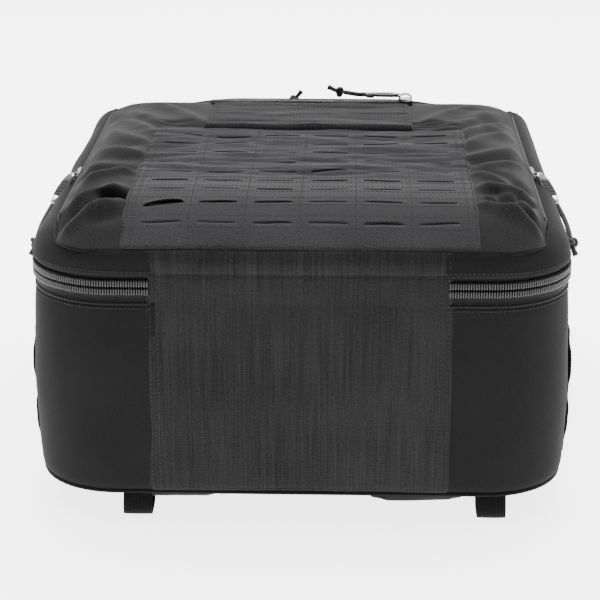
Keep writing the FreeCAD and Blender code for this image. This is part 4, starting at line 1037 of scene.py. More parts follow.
loopEdge = tubePiece("loop_panel_edge", np.stack([x, y, z], axis=-1), 1.5, bindingTape, 8)
loopLine = [(np.stack([xs[1:-1], xs[1:-1] * 0 + loopHigh.y - 2.5, zGrid[1:-1, -2] + 0.2], axis=-1),
             (0, 0, 1))]
loopLine += [(np.stack([ys[4:-1] * 0 + xs[k], ys[4:-1], zGrid[k, 4:-1] + 0.2], axis=-1),
              (0, 0, 1)) for k in (2, -3)]
loopThread = repeatAlong("loop_panel_stitches", loopLine, stitch, 3.0, threadPaintedStitchShade, 0.2, 9, 1.35)
settle(joined("loop_panel_sewn", [loopPiece, loopEdge, loopThread]), "pocket_flap",
       ["loop_panel"])

# The small zip above it.
zipLow, zipHigh = (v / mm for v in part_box("upper_zip"))
zipY = (zipLow.y + zipHigh.y) / 2
xs = np.linspace(zipLow.x, zipHigh.x, 60)
ys = np.linspace(zipLow.y, zipHigh.y, 9)
xGrid, yGrid = np.meshgrid(xs, ys, indexing="ij")
zGrid = np.maximum(pocketHeight(xGrid, yGrid, False), zipHigh.z - 3.4) + 0.9 - 0.06 * np.abs(yGrid - zipY)
smallTape = gridPiece("upper_zip_tape", np.stack([xGrid, yGrid, zGrid], axis=-1), zipTape, thick=0.8)
smallLines = [(np.stack([xs, xs * 0 + zipY + d, zGrid[:, 4] + 0.4], axis=-1), (0, 0, 1)) for d in (-1.5, 1.5)]
smallTeeth = repeatAlong("upper_zip_teeth", smallLines, smallTooth, 1.3, coilNylon)
sewLines = [(np.stack([xs, xs * 0 + zipY + d, zGrid[:, 4] + 0.3], axis=-1), (0, 0, 1)) for d in (-5.6, 5.6)]
smallThread = repeatAlong("upper_zip_stitches", sewLines, stitch, 3.0, threadPaintedStitchShade, 0.2, 10)
settle(joined("upper_zip_visual", [smallTape, smallTeeth, smallThread]), "pocket_flap",
       ["upper_zip"])

# The pocket's zip, half of it on the lid and half on the pocket, up both sides and across the
# far end. Its two ends go under the pocket's near corners.
zipWidth = {"from": 205.0, "pitch": 1.45}
pocketZipPath = outline(pocket["half"] - 0.2, pocket["near"] + 1.5, pocket["far"] + 0.6, 30.0, 44.0)
zipLength = pocketZipPath[0][-1]
s = np.arange(zipWidth["from"], zipLength - zipWidth["from"], 3.0)
lidPart, flapPart = [], []
for parts, levels, offsets, coilLevel, side in (
        (lidPart, (198.2, 199.6, 202.0), (4.5, 1.0, 0.3), 200.9, "lid"),
        (flapPart, (203.0, 204.6, 206.8), (0.3, 0.6, 0.9), 204.3, "flap")):
    rows = []
    for z, offset in zip(levels, offsets):
        x, y, nx, ny = along(pocketZipPath, s, offset)
        rows.append(np.stack([x, y, x * 0 + z], axis=-1))
    parts.append(gridPiece(f"pocket_zip_tape_{side}", np.array(rows).transpose(1, 0, 2), zipTape, thick=0.8))
    x, y, nx, ny = along(pocketZipPath, s, 0.7)
    lineUps = np.stack([nx, ny, nx * 0], axis=-1)
    parts.append(repeatAlong(f"pocket_zip_teeth_{side}",
                             [(np.stack([x, y, x * 0 + coilLevel], axis=-1), lineUps)],
                             smallTooth, zipWidth["pitch"], coilNylon))
settle(joined("pocket_zip_lid_visual", lidPart), "lid", ["pocket_zip_lid"])
settle(joined("pocket_zip_flap_visual", flapPart), "pocket_flap", ["pocket_zip_flap"])
print("pocket zips ready")


# Padded pieces: the CAD solid's own shape is remeshed and blown up a little by a cloth
# simulation, all of them in one run.
padLook = {"pressure": 4.0, "frames": 20, "shrink": 0.5}
padList = []


def padFromNode(name, node, material, voxel, cap, low=-1e9, high=1e9):
    mesh = cadNodes[node].data.copy()
    merged = bmesh.new()
    merged.from_mesh(mesh)
    bmesh.ops.remove_doubles(merged, verts=merged.verts, dist=0.00001)
    merged.to_mesh(mesh)
    merged.free()
    rough = link(bpy.data.objects.new(name + "_rough", mesh))
    remesh = rough.modifiers.new("remesh", "REMESH")
    remesh.mode = "VOXEL"
    remesh.voxel_size = voxel * mm
    depsgraph = bpy.context.evaluated_depsgraph_get()
    fine = bpy.data.meshes.new_from_object(rough.evaluated_get(depsgraph))
    bpy.data.objects.remove(rough)
    fine.name = name
    fine.materials.clear()
    fine.materials.append(material)
    obj = link(bpy.data.objects.new(name, fine))
    places = np.zeros(len(fine.vertices) * 3)
    fine.vertices.foreach_get("co", places)
    normals = np.zeros(len(fine.vertices) * 3)
    fine.vertices.foreach_get("normal", normals)
    start = places.reshape(-1, 3) - normals.reshape(-1, 3) * padLook["shrink"] * mm
    fine.vertices.foreach_set("co", start.ravel())
    padList.append((obj, start, cap, low, high))
    return obj


def swellPads():
    for obj, start, cap, low, high in padList:
        cloth = obj.modifiers.new("cloth", "CLOTH")
        cloth.settings.use_pressure = True
        cloth.settings.uniform_pressure_force = padLook["pressure"]
        cloth.settings.effector_weights.gravity = 0
        cloth.settings.quality = 4
        cloth.point_cache.frame_start = 1
        cloth.point_cache.frame_end = padLook["frames"]
    for number in range(1, padLook["frames"] + 1):
        scene.frame_set(number)
    depsgraph = bpy.context.evaluated_depsgraph_get()
    for obj, start, cap, low, high in padList:
        swollen = obj.evaluated_get(depsgraph).to_mesh()
        places = np.zeros(len(swollen.vertices) * 3)
        swollen.vertices.foreach_get("co", places)
        move = places.reshape(-1, 3) - start
        size = np.linalg.norm(move, axis=1, keepdims=True)
        end = start + move * np.minimum(1, cap * mm / np.maximum(size, 1e-9))
        end[:, 2] = np.clip(end[:, 2], low * mm, high * mm)
        obj.modifiers.clear()
        obj.data.vertices.foreach_set("co", end.ravel())
        obj.data.shade_smooth()
        finer = obj.modifiers.new("finer", "SUBSURF")
        finer.levels = finer.render_levels = 1
    scene.frame_set(1)


backBottom = body["bottom"]
for side in ("left", "right"):
    padFromNode(f"back_pad_{side}_mesh", f"back_pad_{side}", spacerMeshPaintedHoleShade, 3.0, 3.0, 10.2, backBottom + 0.2)
    padFromNode(f"strap_{side}_pad", f"shoulder_strap_{side}", spacerMeshPaintedHoleShade, 2.6, 1.6, 0.6, 9.9)
padFromNode("strap_yoke_pad", "strap_yoke", plainNylonPaintedShade, 4.0, 3.0, 0.0, backBottom + 0.2)
padFromNode("divider_pad", "divider", liningNylon, 3.6, 3.0, 32.0, 152.0)
padFromNode("handle_grip_sleeve", "handle_grip", webbingNylon, 2.4, 1.5)
padFromNode("strap_wing_pads", "strap_wings", plainNylonPaintedShade, 2.4, 1.0, 10.2, backBottom + 0.2)
swellPads()
padded = {obj.name: obj for obj, *_ in padList}
for side in ("left", "right"):
    settle(padded[f"back_pad_{side}_mesh"], "pack", [f"back_pad_{side}"])
    settle(padded[f"strap_{side}_pad"], f"strap_{side}", [f"shoulder_strap_{side}"])
settle(padded["strap_yoke_pad"], "pack", ["strap_yoke"])
settle(padded["divider_pad"], "pack", ["divider"])
settle(padded["handle_grip_sleeve"], "handle", ["handle_grip"])
settle(padded["strap_wing_pads"], "pack", ["strap_wings"])
print("pads ready")


def flatStrip(name, centre, width, material, thick=1.6, ups=(0, 0, 1), columns=7, crown=0.25):
    # webbing along a line of points, its width across the line and square to ups
    centre = np.asarray(centre, float)
    ups = np.broadcast_to(np.asarray(ups, float), centre.shape)
    ahead = np.gradient(centre, axis=0)
    ahead /= np.maximum(np.linalg.norm(ahead, axis=1, keepdims=True), 1e-9)
    side = np.cross(ahead, ups)
    side /= np.maximum(np.linalg.norm(side, axis=1, keepdims=True), 1e-9)
    normal = np.cross(side, ahead)
    w = np.linspace(-0.5, 0.5, columns)
    grid = centre[:, None] + side[:, None] * (w * width)[None, :, None] \
        + normal[:, None] * (crown * (1 - (2 * w) ** 2))[None, :, None]
    return gridPiece(name, grid, material, thick=thick, flip=True)


def curveThrough(points, count):
    # a smooth line through a few points
    points = np.asarray(points, float)
    extended = np.vstack([2 * points[0] - points[1], points, 2 * points[-1] - points[-2]])
    result = []
    for value in np.linspace(0, len(points) - 1, count):
        i = min(int(value), len(points) - 2)
        t = value - i
        p0, p1, p2, p3 = extended[i:i + 4]
        result.append(0.5 * (2 * p1 + (p2 - p0) * t + (2 * p0 - 5 * p1 + 4 * p2 - p3) * t ** 2
                             + (3 * p1 - p0 - 3 * p2 + p3) * t ** 3))
    return np.array(result)


def barStitchShape():
    points = [(y, x, z) for x, y, z in [tuple(v.co / mm) for v in stitch.data.vertices]]
    return helperPart("barStitch", points, [tuple(reversed(p.vertices)) for p in stitch.data.polygons])


barStitch = barStitchShape()

# Webbing rows on both side walls, sewn down by three bar tacks each.
rowsLook = {"width": 25.4, "first": -160.0 - 18.5, "pitch": 50.8, "rows": 7, "low": 31.0, "high": 123.0,
            "tacks": (35.0, 77.0, 119.0), "bow": 1.5}
sidePieces, tackLines = [], []
for side in (-1, 1):
    for row in range(rowsLook["rows"]):
        yRow = rowsLook["first"] + rowsLook["pitch"] * row
        z = np.linspace(rowsLook["low"], rowsLook["high"], 34)
        distance = (panelEdge * 0 + (body["half"] - body["radius"]) + body["radius"] * math.pi / 2
                    + (yRow - body["near"] - body["radius"]))
        sAt = distance if side > 0 else bodyRound - distance
        sRow = np.full(len(z), sAt)
        _, _, nx, ny = along(bodyPath, sRow)
        near = np.min([np.abs(z - tack) for tack in rowsLook["tacks"]], axis=0)
        offset = wallOffset(sRow, z, nx, ny) + 1.9 + rowsLook["bow"] * smooth((near - 3) / 12)
        x, y, _, _ = along(bodyPath, sRow, offset)
        sidePieces.append(flatStrip(f"side_web_{side}_{row}", np.stack([x, y, z], axis=-1), rowsLook["width"],
                                    webbingNylon, 1.5, ups=np.stack([nx, ny, nx * 0], axis=-1)))
        for tack in rowsLook["tacks"]:
            for d in (-0.8, 0.8):
                yTack = yRow + np.linspace(-10.5, 10.5, 12)
                level = np.full(12, tack + d)
                i = int(np.argmin(np.abs(z - tack)))
                tackLines.append((np.stack([np.full(12, x[i] + side * 0.35), yTack, level], axis=-1),
                                  (side, 0, 0)))
tacks = repeatAlong("side_bar_tacks", tackLines, barStitch, 0.95, threadPaintedStitchShade, 0.2, 12)
settle(joined("side_webbing_rows", sidePieces + [tacks]), "pack", ["side_webbing"])

# The two webbing loops under the near edge, folded over and sewn to the back panel.
loopPieces = []
for x0, x1 in ((-124.0, -104.0), (125.0, 145.0)):
    path = curveThrough([(0, -222.0, 19.8), (0, -221.9, 9), (0, -224.5, 3.2), (0, -233, 2.1), (0, -243, 2.4),
                         (0, -246.0, 6), (0, -243.5, 14), (0, -240, 19.8)], 40)
    path[:, 0] = (x0 + x1) / 2
    inward = np.array([(0.0, -234.0, 9.0)]) - path
    inward[:, 0] = 0
    loopPieces.append(flatStrip("loop", path, x1 - x0, webbingNylon, 1.5, ups=-inward))
settle(joined("webbing_loop_pair", loopPieces), "pack", ["webbing_loops"])

# Back panel cloth with a bound edge, and the brushed lining inside.
def closedPlate(name, path, low, high, material, wobble, seed, rings=14):
    total = path[0][-1]
    ringS = np.linspace(0, total, 161)[:-1]
    x, y, _, _ = along(path, ringS)
    middle = (y.min() + y.max()) / 2
    rows = []
    shares = list(np.linspace(0.02, 1, rings))
    for share, z in [(v, high) for v in shares] + [(v, low) for v in shares[::-1]]:
        edge = 0.35 * (high - low) * (share > 0.99)
        level = z + (edge if z == low else -edge)
        ring = np.stack([x * share, middle + (y - middle) * share, x * 0 + level], axis=-1)
        ring[:, 2] += noiseAt(ring, (80.0, 70.0, 500.0), seed) * wobble * (share < 0.99)
        rows.append(ring)
    grid = np.array(rows)
    return gridPiece(name, grid, material, closeColumns=True, caps=True, uv=grid[:, :, :2], flip=True)


backPath = outline(body["half"] - 0.5, body["near"] + 0.5, body["far"] - 0.5, 55.5, 55.5)
backCloth = closedPlate("back_cloth", backPath, backBottom, backBottom + 1.9, plainNylonPaintedShade, 0.0, 41.0)
x, y, nx, ny = along(backPath, np.linspace(0, backPath[0][-1], 260)[:-1], 0.6)
backBinding = tubePiece("back_binding", np.stack([x, y, x * 0 + backBottom + 1.0], axis=-1), 1.7, bindingTape,
                        8, closed=True)
settle(joined("back_panel_sewn", [backCloth, backBinding]), "pack", ["back_panel"])
liningPath = outline(body["half"] - 3, body["near"] + 3, body["far"] - 3, 53.0, 53.0)
lining = closedPlate("back_lining_cloth", liningPath, 28.5, 30.2, loopCloth, 0.12, 43.0)
settle(lining, "pack", ["back_lining"])

# Instrument loops of elastic, sewn down at even steps so that each stands in a low bow.
elasticLow, elasticHigh = (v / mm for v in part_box("elastic_loops"))
strips, tackLines = [], []
span = (elasticHigh.y - elasticLow.y)
for k in range(3):
    yStrip = elasticLow.y + 12.5 + k * (span - 25) / 2
    x = np.linspace(elasticLow.x, elasticHigh.x, 141)
    bow = np.abs(np.sin((x - elasticLow.x) / 28.0 * math.pi)) ** 0.7 * 4.2
    strips.append(flatStrip(f"elastic_{k}", np.stack([x, x * 0 + yStrip, 30.6 + bow], axis=-1), 25.0,
                            webbingNylon, 1.0))
    for xTack in np.arange(elasticLow.x, elasticHigh.x + 1, 28.0):
        tackLines.append((np.stack([np.full(10, xTack), yStrip + np.linspace(-10, 10, 10), np.full(10, 31.4)],
                                   axis=-1), (0, 0, 1)))
elasticTacks = repeatAlong("elastic_tacks", tackLines, barStitch, 1.0, threadPaintedStitchShade, 0.2, 14)
settle(joined("elastic_strips", strips + [elasticTacks]), "pack", ["elastic_loops"])

# Two zipped sleeves of spacer mesh on the lid's inside, bound along their tops.
sleeveLow, sleeveHigh = (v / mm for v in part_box("lid_pockets"))
sleeves = []
middleY = (sleeveLow.y + sleeveHigh.y) / 2
for k, (y0, y1) in enumerate(((sleeveLow.y, middleY - 12), (middleY + 12, sleeveHigh.y))):
    xs = np.linspace(sleeveLow.x, sleeveHigh.x, 50)
    ys = np.linspace(y0, y1, 40)
    xGrid, yGrid = np.meshgrid(xs, ys, indexing="ij")
    edge = np.minimum((sleeveHigh.x - np.abs(xGrid)), np.minimum(yGrid - y0, y1 - yGrid))
    bulge = smooth(edge / 26)
    place = np.stack([xGrid, yGrid, xGrid * 0], axis=-1)
    zGrid = sleeveHigh.z + 0.6 - 5.2 * bulge - noiseAt(place, (60.0, 26.0, 1.0), 51.0 + k) * 0.9 * bulge
    zGrid = zGrid - farSag(xGrid, yGrid) * 1.25      # they sink with the lid above them
    sleeves.append(gridPiece(f"sleeve_{k}", np.stack([xGrid, yGrid, zGrid], axis=-1), spacerMeshPaintedHoleShade, flip=True,
                             uv=place[:, :, :2], thick=-0.8))
    border = np.array([(sleeveLow.x, y0), (sleeveHigh.x, y0), (sleeveHigh.x, y1), (sleeveLow.x, y1)])
    for a, b in zip(border, np.roll(border, -1, axis=0)):
        line = np.array([(*(a + (b - a) * t), sleeveHigh.z + 0.2 - farSag(*(a + (b - a) * t)) * 1.25)
                         for t in np.linspace(0, 1, 40)])
        sleeves.append(flatStrip("sleeve_binding", line, 9.0, bindingTape, 1.2, ups=(0, 0, -1)))
settle(joined("lid_sleeves", sleeves), "lid", ["lid_pockets"])
print("inside ready")

# Shoulder straps: bound edge, a web down the outer face, a ladder lock and half of the chest strap.
strapLook = {"hinge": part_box("shoulder_strap_left")[1].y / mm + 1.5}
seamY, endY = strapLook["hinge"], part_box("shoulder_strap_left")[0].y / mm
padMiddle, lockMiddle = 83.0, 101.0
for side, name in ((-1, "left"), (1, "right")):
    parts = []
    rim = [((padMiddle - 39) * side, seamY - 1.5), ((padMiddle + 23) * side, seamY - 1.5),
           ((padMiddle + 45) * side, seamY - 108), ((padMiddle + 47) * side, endY + 66),
           ((lockMiddle + 13) * side, endY), ((lockMiddle - 13) * side, endY),
           ((padMiddle - 11) * side, endY + 66), ((padMiddle - 17) * side, seamY - 108)]
    sides = np.array([(a[0], a[1], 5.0) for a in rim])
    outerEdge = np.vstack([sides[1] + (sides[2] - sides[1]) * t for t in np.linspace(0, 1, 10)][:-1]
                          + [sides[2] + (sides[3] - sides[2]) * t for t in np.linspace(0, 1, 10)][:-1]
                          + [sides[3] + (sides[4] - sides[3]) * t for t in np.linspace(0, 1, 10)])
    innerEdge = np.vstack([sides[0] + (sides[7] - sides[0]) * t for t in np.linspace(0, 1, 10)][:-1]
                          + [sides[7] + (sides[6] - sides[7]) * t for t in np.linspace(0, 1, 10)][:-1]
                          + [sides[6] + (sides[5] - sides[6]) * t for t in np.linspace(0, 1, 10)])
    parts.append(tubePiece("strap_edge", outerEdge, 1.9, bindingTape, 8))
    parts.append(tubePiece("strap_edge", innerEdge, 1.9, bindingTape, 8))
    centreLine = curveThrough([((padMiddle - 8) * side, seamY - 3, 0.9),
                               ((padMiddle + 2) * side, seamY - 60, 0.7),
                               ((padMiddle + 14) * side, seamY - 108, 0.7),
                               ((padMiddle + 18) * side, endY + 66, 0.7),
                               (lockMiddle * side, endY + 8, 0.9), (lockMiddle * side, endY - 6, 2.4)], 60)
    centreLine[:, 2] += 1.1
    parts.append(flatStrip("strap_web", centreLine, 22.0, webbingNylon, 1.4, ups=(0, 0, -1)))
    edges = []
    for d in (-9.4, 9.4):
        edges.append((centreLine[2:-6] + np.array([d, 0, -1.3]), (0, 0, -1)))
    parts.append(repeatAlong("strap_stitches", edges, stitch, 3.0, threadPaintedStitchShade, 0.2, 15))
    settle(joined(f"strap_{name}_trim", parts), f"strap_{name}")
    # chest strap web with its folded end
    low, high = (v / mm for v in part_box(f"sternum_webbing_{name}"))
    x0, x1 = (high.x, low.x) if side < 0 else (low.x, high.x)
    line = np.array([(x0 + (x1 - x0) * t, (low.y + high.y) / 2,
                      5.4 + 0.5 * math.sin(t * 3)) for t in np.linspace(0, 1, 16)])
    settle(flatStrip(f"chest_web_{name}", line, high.y - low.y - 0.6, webbingNylon, 1.4), f"strap_{name}",
           [f"sternum_webbing_{name}"])
lowerPieces = []
for side in (-1, 1):
    lockEnd = endY - 26
    line = curveThrough([(lockMiddle * side, lockEnd + 1, 8.9), ((lockMiddle + 20) * side, lockEnd - 12, 9.6),
                         ((158) * side, body["near"] + 46, 10.2)], 26)
    lowerPieces.append(flatStrip("lower_web", line, 21.5, webbingNylon, 1.4))
    folded = line[:9] + np.array([0, -4.0, -1.9])
    lowerPieces.append(flatStrip("lower_web_tail", folded, 21.5, webbingNylon, 1.4))
settle(joined("lower_webbing_pair", lowerPieces), "pack", ["lower_webbing"])


def bevelled(name, source, material, width, segments=2):
    # a copy of a hard CAD part with its sharp edges broken, as moulding leaves them
    mesh = source.copy()
    merged = bmesh.new()
    merged.from_mesh(mesh)
    bmesh.ops.remove_doubles(merged, verts=merged.verts, dist=0.00001)
    bmesh.ops.dissolve_limit(merged, angle_limit=0.02, verts=merged.verts, edges=merged.edges)
    merged.to_mesh(mesh)
    merged.free()
    mesh.materials.clear()
    mesh.materials.append(material)
    obj = link(bpy.data.objects.new(name, mesh))
    edge = obj.modifiers.new("edge", "BEVEL")
    edge.width = width * mm
    edge.segments = segments
    edge.limit_method = "ANGLE"
    return obj


for side in ("left", "right"):
    settle(bevelled(f"ladder_lock_{side}_moulded", cadNodes[f"ladder_lock_{side}"].data, acetal, 0.9),
           f"strap_{side}", [f"ladder_lock_{side}"])


def extruded(name, path, low, high, material, bevel=0.6, turn=None):
    # a plate of any outline, its edges rounded; turn places it
    count = len(path)
    points = [(x, y, low) for x, y in path] + [(x, y, high) for x, y in path]
    faces = [tuple(range(count))[::-1], tuple(range(count, 2 * count))]
    faces += [(i, (i + 1) % count, count + (i + 1) % count, count + i) for i in range(count)]
    mesh = meshFrom(name, points, faces, smoothShade=False)
    if turn is not None:
        mesh.transform(turn)
    mesh.materials.append(material)
    obj = link(bpy.data.objects.new(name, mesh))
    edge = obj.modifiers.new("edge", "BEVEL")
    edge.width = bevel * mm
    edge.segments = 2
    edge.limit_method = "ANGLE"
    edge.angle_limit = 0.9
    return obj


# The chest buckle's two halves: a socket with side openings and a prong part.
low, high = (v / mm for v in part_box("sternum_buckle_left"))
yMiddle = (low.y + high.y) / 2
half = (high.y - low.y) / 2
socket = [(low.x, yMiddle - half * 0.86), (low.x + 5, yMiddle - half), (high.x - 12, yMiddle - half),
          (high.x - 9, yMiddle - half * 0.62), (high.x - 4, yMiddle - half * 0.62),
          (high.x, yMiddle - half * 0.8),
          (high.x, yMiddle + half * 0.8), (high.x - 4, yMiddle + half * 0.62),
          (high.x - 9, yMiddle + half * 0.62),
          (high.x - 12, yMiddle + half), (low.x + 5, yMiddle + half), (low.x, yMiddle + half * 0.86)]
socketPiece = extruded("chest_socket", socket, low.z, high.z, acetal, 1.2)
socketBar = extruded("chest_socket_bar", [(low.x + 2, yMiddle - 8), (low.x + 6, yMiddle - 8),
                                          (low.x + 6, yMiddle + 8), (low.x + 2, yMiddle + 8)], low.z - 0.7,
                     low.z + 1, acetal, 0.5)
settle(joined("chest_buckle_left", [socketPiece, socketBar]), "strap_left",
       ["sternum_buckle_left"])
low, high = (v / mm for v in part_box("sternum_buckle_right"))
base = extruded("chest_plug", [(high.x - 11, yMiddle - half * 0.9), (high.x, yMiddle - half * 0.8),
                               (high.x, yMiddle + half * 0.8), (high.x - 11, yMiddle + half * 0.9)], low.z,
                high.z, acetal, 1.2)
prongs = [base]
for s2 in (-1, 1):
    prongs.append(extruded("chest_prong", [(high.x - 10, yMiddle + s2 * half * 0.8),
                                           (low.x + 4, yMiddle + s2 * half * 0.85),
                                           (low.x, yMiddle + s2 * half * 0.55),
                                           (low.x + 3, yMiddle + s2 * half * 0.5),
                                           (high.x - 10, yMiddle + s2 * half * 0.5)][::s2], low.z + 1.2,
                           high.z - 1.2, acetal, 0.6))
prongs.append(extruded("chest_guide", [(high.x - 10, yMiddle - 1.6), (high.x - 10, yMiddle + 1.6),
                                       (low.x + 2, yMiddle + 1.2), (low.x + 2, yMiddle - 1.2)][::-1],
                       low.z + 1.2, high.z - 1.2, acetal, 0.4))
settle(joined("chest_buckle_right", prongs), "strap_right", ["sternum_buckle_right"])
print("harness ready")

# Grab handle: an arch of folded webbing under the padded sleeve, and its two sewn patches.
webLow, webHigh = (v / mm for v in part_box("handle_webbing"))
levelZ = (webLow.z + webHigh.z) / 2
arch = curveThrough([(-webHigh.x + 6, webLow.y, levelZ), (-webHigh.x + 4.5, webLow.y + 14, levelZ),
                     (-webHigh.x + 16, webHigh.y - 9, levelZ),
                     (-30, webHigh.y - 6.2, levelZ), (0, webHigh.y - 6, levelZ),
                     (30, webHigh.y - 6.2, levelZ),
                     (webHigh.x - 16, webHigh.y - 9, levelZ), (webHigh.x - 4.5, webLow.y + 14, levelZ),
                     (webHigh.x - 6, webLow.y, levelZ)], 90)
tube = tubePoints(arch, 1.0, 12)
centre = arch[:, None, :]
offsets = tube - centre
tube = centre + offsets * np.array([5.4, 5.4, 2.3])
handleWeb = gridPiece("handle_web", tube, webbingNylon, flip=True, closeColumns=True, caps=True)
settle(handleWeb, "handle", ["handle_webbing"])
patchLow, patchHigh = (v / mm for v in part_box("handle_patches"))
patches = []
for side in (-1, 1):
    xMiddle = side * (patchHigh.x - 12)
    xs = np.linspace(-12, 12, 13)
    zs = np.linspace(patchLow.z, patchHigh.z, 13)
    xGrid, zGrid = np.meshgrid(xs, zs, indexing="ij")
    edge = np.clip(np.minimum(12 - np.abs(xGrid), 12 - np.abs(zGrid - levelZ)) / 2, 0, 1)
    yGrid = patchHigh.y + 1.1 + 0.9 * edge + 0 * xGrid
    patches.append(gridPiece("patch", np.stack([xGrid + xMiddle, yGrid, zGrid], axis=-1), webbingNylon,
                             thick=1.4, flip=True))
    corners = [(-9.5, -9.5), (9.5, -9.5), (9.5, 9.5), (-9.5, 9.5), (-9.5, -9.5), (9.5, 9.5), (9.5, -9.5),
               (-9.5, 9.5)]
    line = np.array([(xMiddle + a, patchHigh.y + 2.2, levelZ + b) for a, b in corners])
    patches.append(repeatAlong("patch_stitches", [(line, (0, 1, 0))], stitch, 3.0, threadPaintedStitchShade, 0.1, 16))
settle(joined("handle_patch_pair", patches), "pack", ["handle_patches"])
print("handle ready")


# Sliders, pull tabs and cords. Each pull turns on its slider: a bail, a rubbery tab, a bright
# ferrule and a braided cord that ends in a knot.
def placed(origin, ahead, upward):
    # a matrix whose x runs along ahead and whose z is near upward, in metres
    x = Vector(ahead).normalized()
    y = Vector(upward).cross(x).normalized()
    z = x.cross(y)
    matrix = Matrix((x, y, z)).transposed().to_4x4()
    matrix.translation = Vector(origin) * mm
    return matrix


def latheAlong(name, profile, material, turn, sides=20):
    rings = [[(x, r * math.cos(a), r * math.sin(a)) for a in np.linspace(0, 2 * math.pi, sides,
                                                                         endpoint=False)]
             for x, r in profile]
    piece = gridPiece(name, np.array(rings), material, flip=True, closeColumns=True, caps=True)
    piece.data.transform(turn)
    return piece


def sliderPiece(name, centre, out, travel, body, size=1.0):
    turn = placed(centre, travel, out)
    s = size
    plate = [(-7 * s, -3.4 * s), (-4.5 * s, -5.6 * s), (2.5 * s, -6.6 * s), (6.6 * s, -5.0 * s),
             (7 * s, -1.6 * s),
             (5.2 * s, 0), (7 * s, 1.6 * s), (6.6 * s, 5.0 * s), (2.5 * s, 6.6 * s), (-4.5 * s, 5.6 * s),
             (-7 * s, 3.4 * s)]
    top = extruded(name + "_plate", plate, -0.9, 0.9, sliderMetal, 0.5, turn)
    arch = curveThrough([(-5 * s, 0, 0.6), (-4.4 * s, 0, 2.8), (-1.5 * s, 0, 3.9), (2.4 * s, 0, 3.8),
                         (4.8 * s, 0, 2.4), (5.4 * s, 0, 0.6)], 16)
    bridge = flatStrip(name + "_bridge", arch, 3.2 * s, sliderMetal, 1.1, crown=0.3)
    bridge.data.transform(turn)
    flanges = []
    for side in (-1, 1):
        rail = curveThrough([(-6.2 * s, side * 3.6 * s, -0.4), (-2 * s, side * 5.6 * s, -1.0),
                             (3 * s, side * 6.4 * s, -1.0), (6.4 * s, side * 5.2 * s, -0.4)], 12)
        flange = tubePiece(name + "_flange", rail, 0.9, sliderMetal, 6)
        flange.data.transform(turn)
        flanges.append(flange)
    return settle(joined(name + "_cast", [top, bridge] + flanges), body, [name])


def pullPiece(name, pivot, direction, normal, body):
    turn = placed(pivot, direction, normal)
    outlineTab = [(2.2, -2.6), (4.0, -4.0), (8, -4.9), (14, -5.4), (20, -5.2), (24, -4.0), (26, -2.4),
                  (26, 2.4), (24, 4.0), (20, 5.2), (14, 5.4), (8, 4.9), (4.0, 4.0), (2.2, 2.6)]
    pieces = [extruded(name + "_tab", outlineTab, -1.1, 1.1, tabRubber, 0.55, turn)]
    for k in range(5):
        x = 9 + k * 3.0
        for z in (-1.2, 1.2):
            rib = tubePiece(name + "_rib", [(x, y, z) for y in np.linspace(-3.4, 3.4, 6)], 0.45, tabRubber, 6)
            rib.data.transform(turn)
            pieces.append(rib)
    ring = [(2.6 + 3.1 * math.cos(a), 2.7 * math.sin(a), 0.0) for a in np.linspace(0, 2 * math.pi, 25)[:-1]]
    bail = tubePiece(name + "_bail", ring, 0.75, ferruleMetal, 8, closed=True)
    bail.data.transform(turn)
    pieces.append(bail)
    cap = extruded(name + "_cap", [(1.2, -2.2), (5.4, -3.0), (7.4, -2.2), (7.4, 2.2), (5.4, 3.0), (1.2, 2.2)],
                   -1.5, 1.5, sliderMetal, 0.5, turn)
    pieces.append(cap)
    pieces.append(latheAlong(name + "_ferrule",
                             [(23.6, 2.2), (24.0, 2.9), (25.2, 3.1), (28.2, 3.0), (30.2, 2.7), (30.9, 2.2),
                              (31.0, 1.9)], ferruleMetal, turn))
    return settle(joined(name + "_moulded", pieces), body, [name])


def knotLine(centre, direction, tight=1.1):
    turn = placed((0, 0, 0), direction, (0.3, 0.2, 1.0)).to_3x3()
    t = np.linspace(0, 2 * math.pi, 61)
    loops = np.stack([np.sin(3 * t) * 1.35, np.sin(t) + 2 * np.sin(2 * t), np.cos(t) - 2 * np.cos(2 * t)],
                     axis=-1) * tight
    return np.array([tuple(turn @ Vector(p)) for p in loops]) + np.asarray(centre, float)


def knotParts(name, start, direction, tail, tailDirection, radius=1.9):
    direction = np.asarray(Vector(direction).normalized())
    centre = np.asarray(start, float) + direction * 4.4
    knot = tubePiece(name + "_turns", knotLine(centre, direction), radius, cordNylon, 10)
    away = np.asarray(Vector(tailDirection).normalized())
    line = curveThrough([centre, centre + direction * 2.5 + away * 2.0,
                         centre + direction * 3.2 + away * (3.0 + tail)], 14)
    fray = np.concatenate([np.full(10, radius * 0.95), np.linspace(radius, radius * 1.25, 4)])
    end = tubePiece(name + "_tail", line, fray, cordNylon, 10)
    return [knot, end]


shift = -18.5
coilFace = body["far"] + 3.0
zipMid = mainZip["middle"]
pullSize = {"reach": 31.0, "run": 7.0, "cord": 3.8}
sliderPiece("main_left_slider", (-62, coilFace + 1.2, zipMid), (0, 1, 0), (-1, 0, 0), "main_slide_left", 1.05)
sliderPiece("main_right_slider", (-45, coilFace + 1.2, zipMid), (0, 1, 0), (1, 0, 0), "main_slide_right",
            1.05)

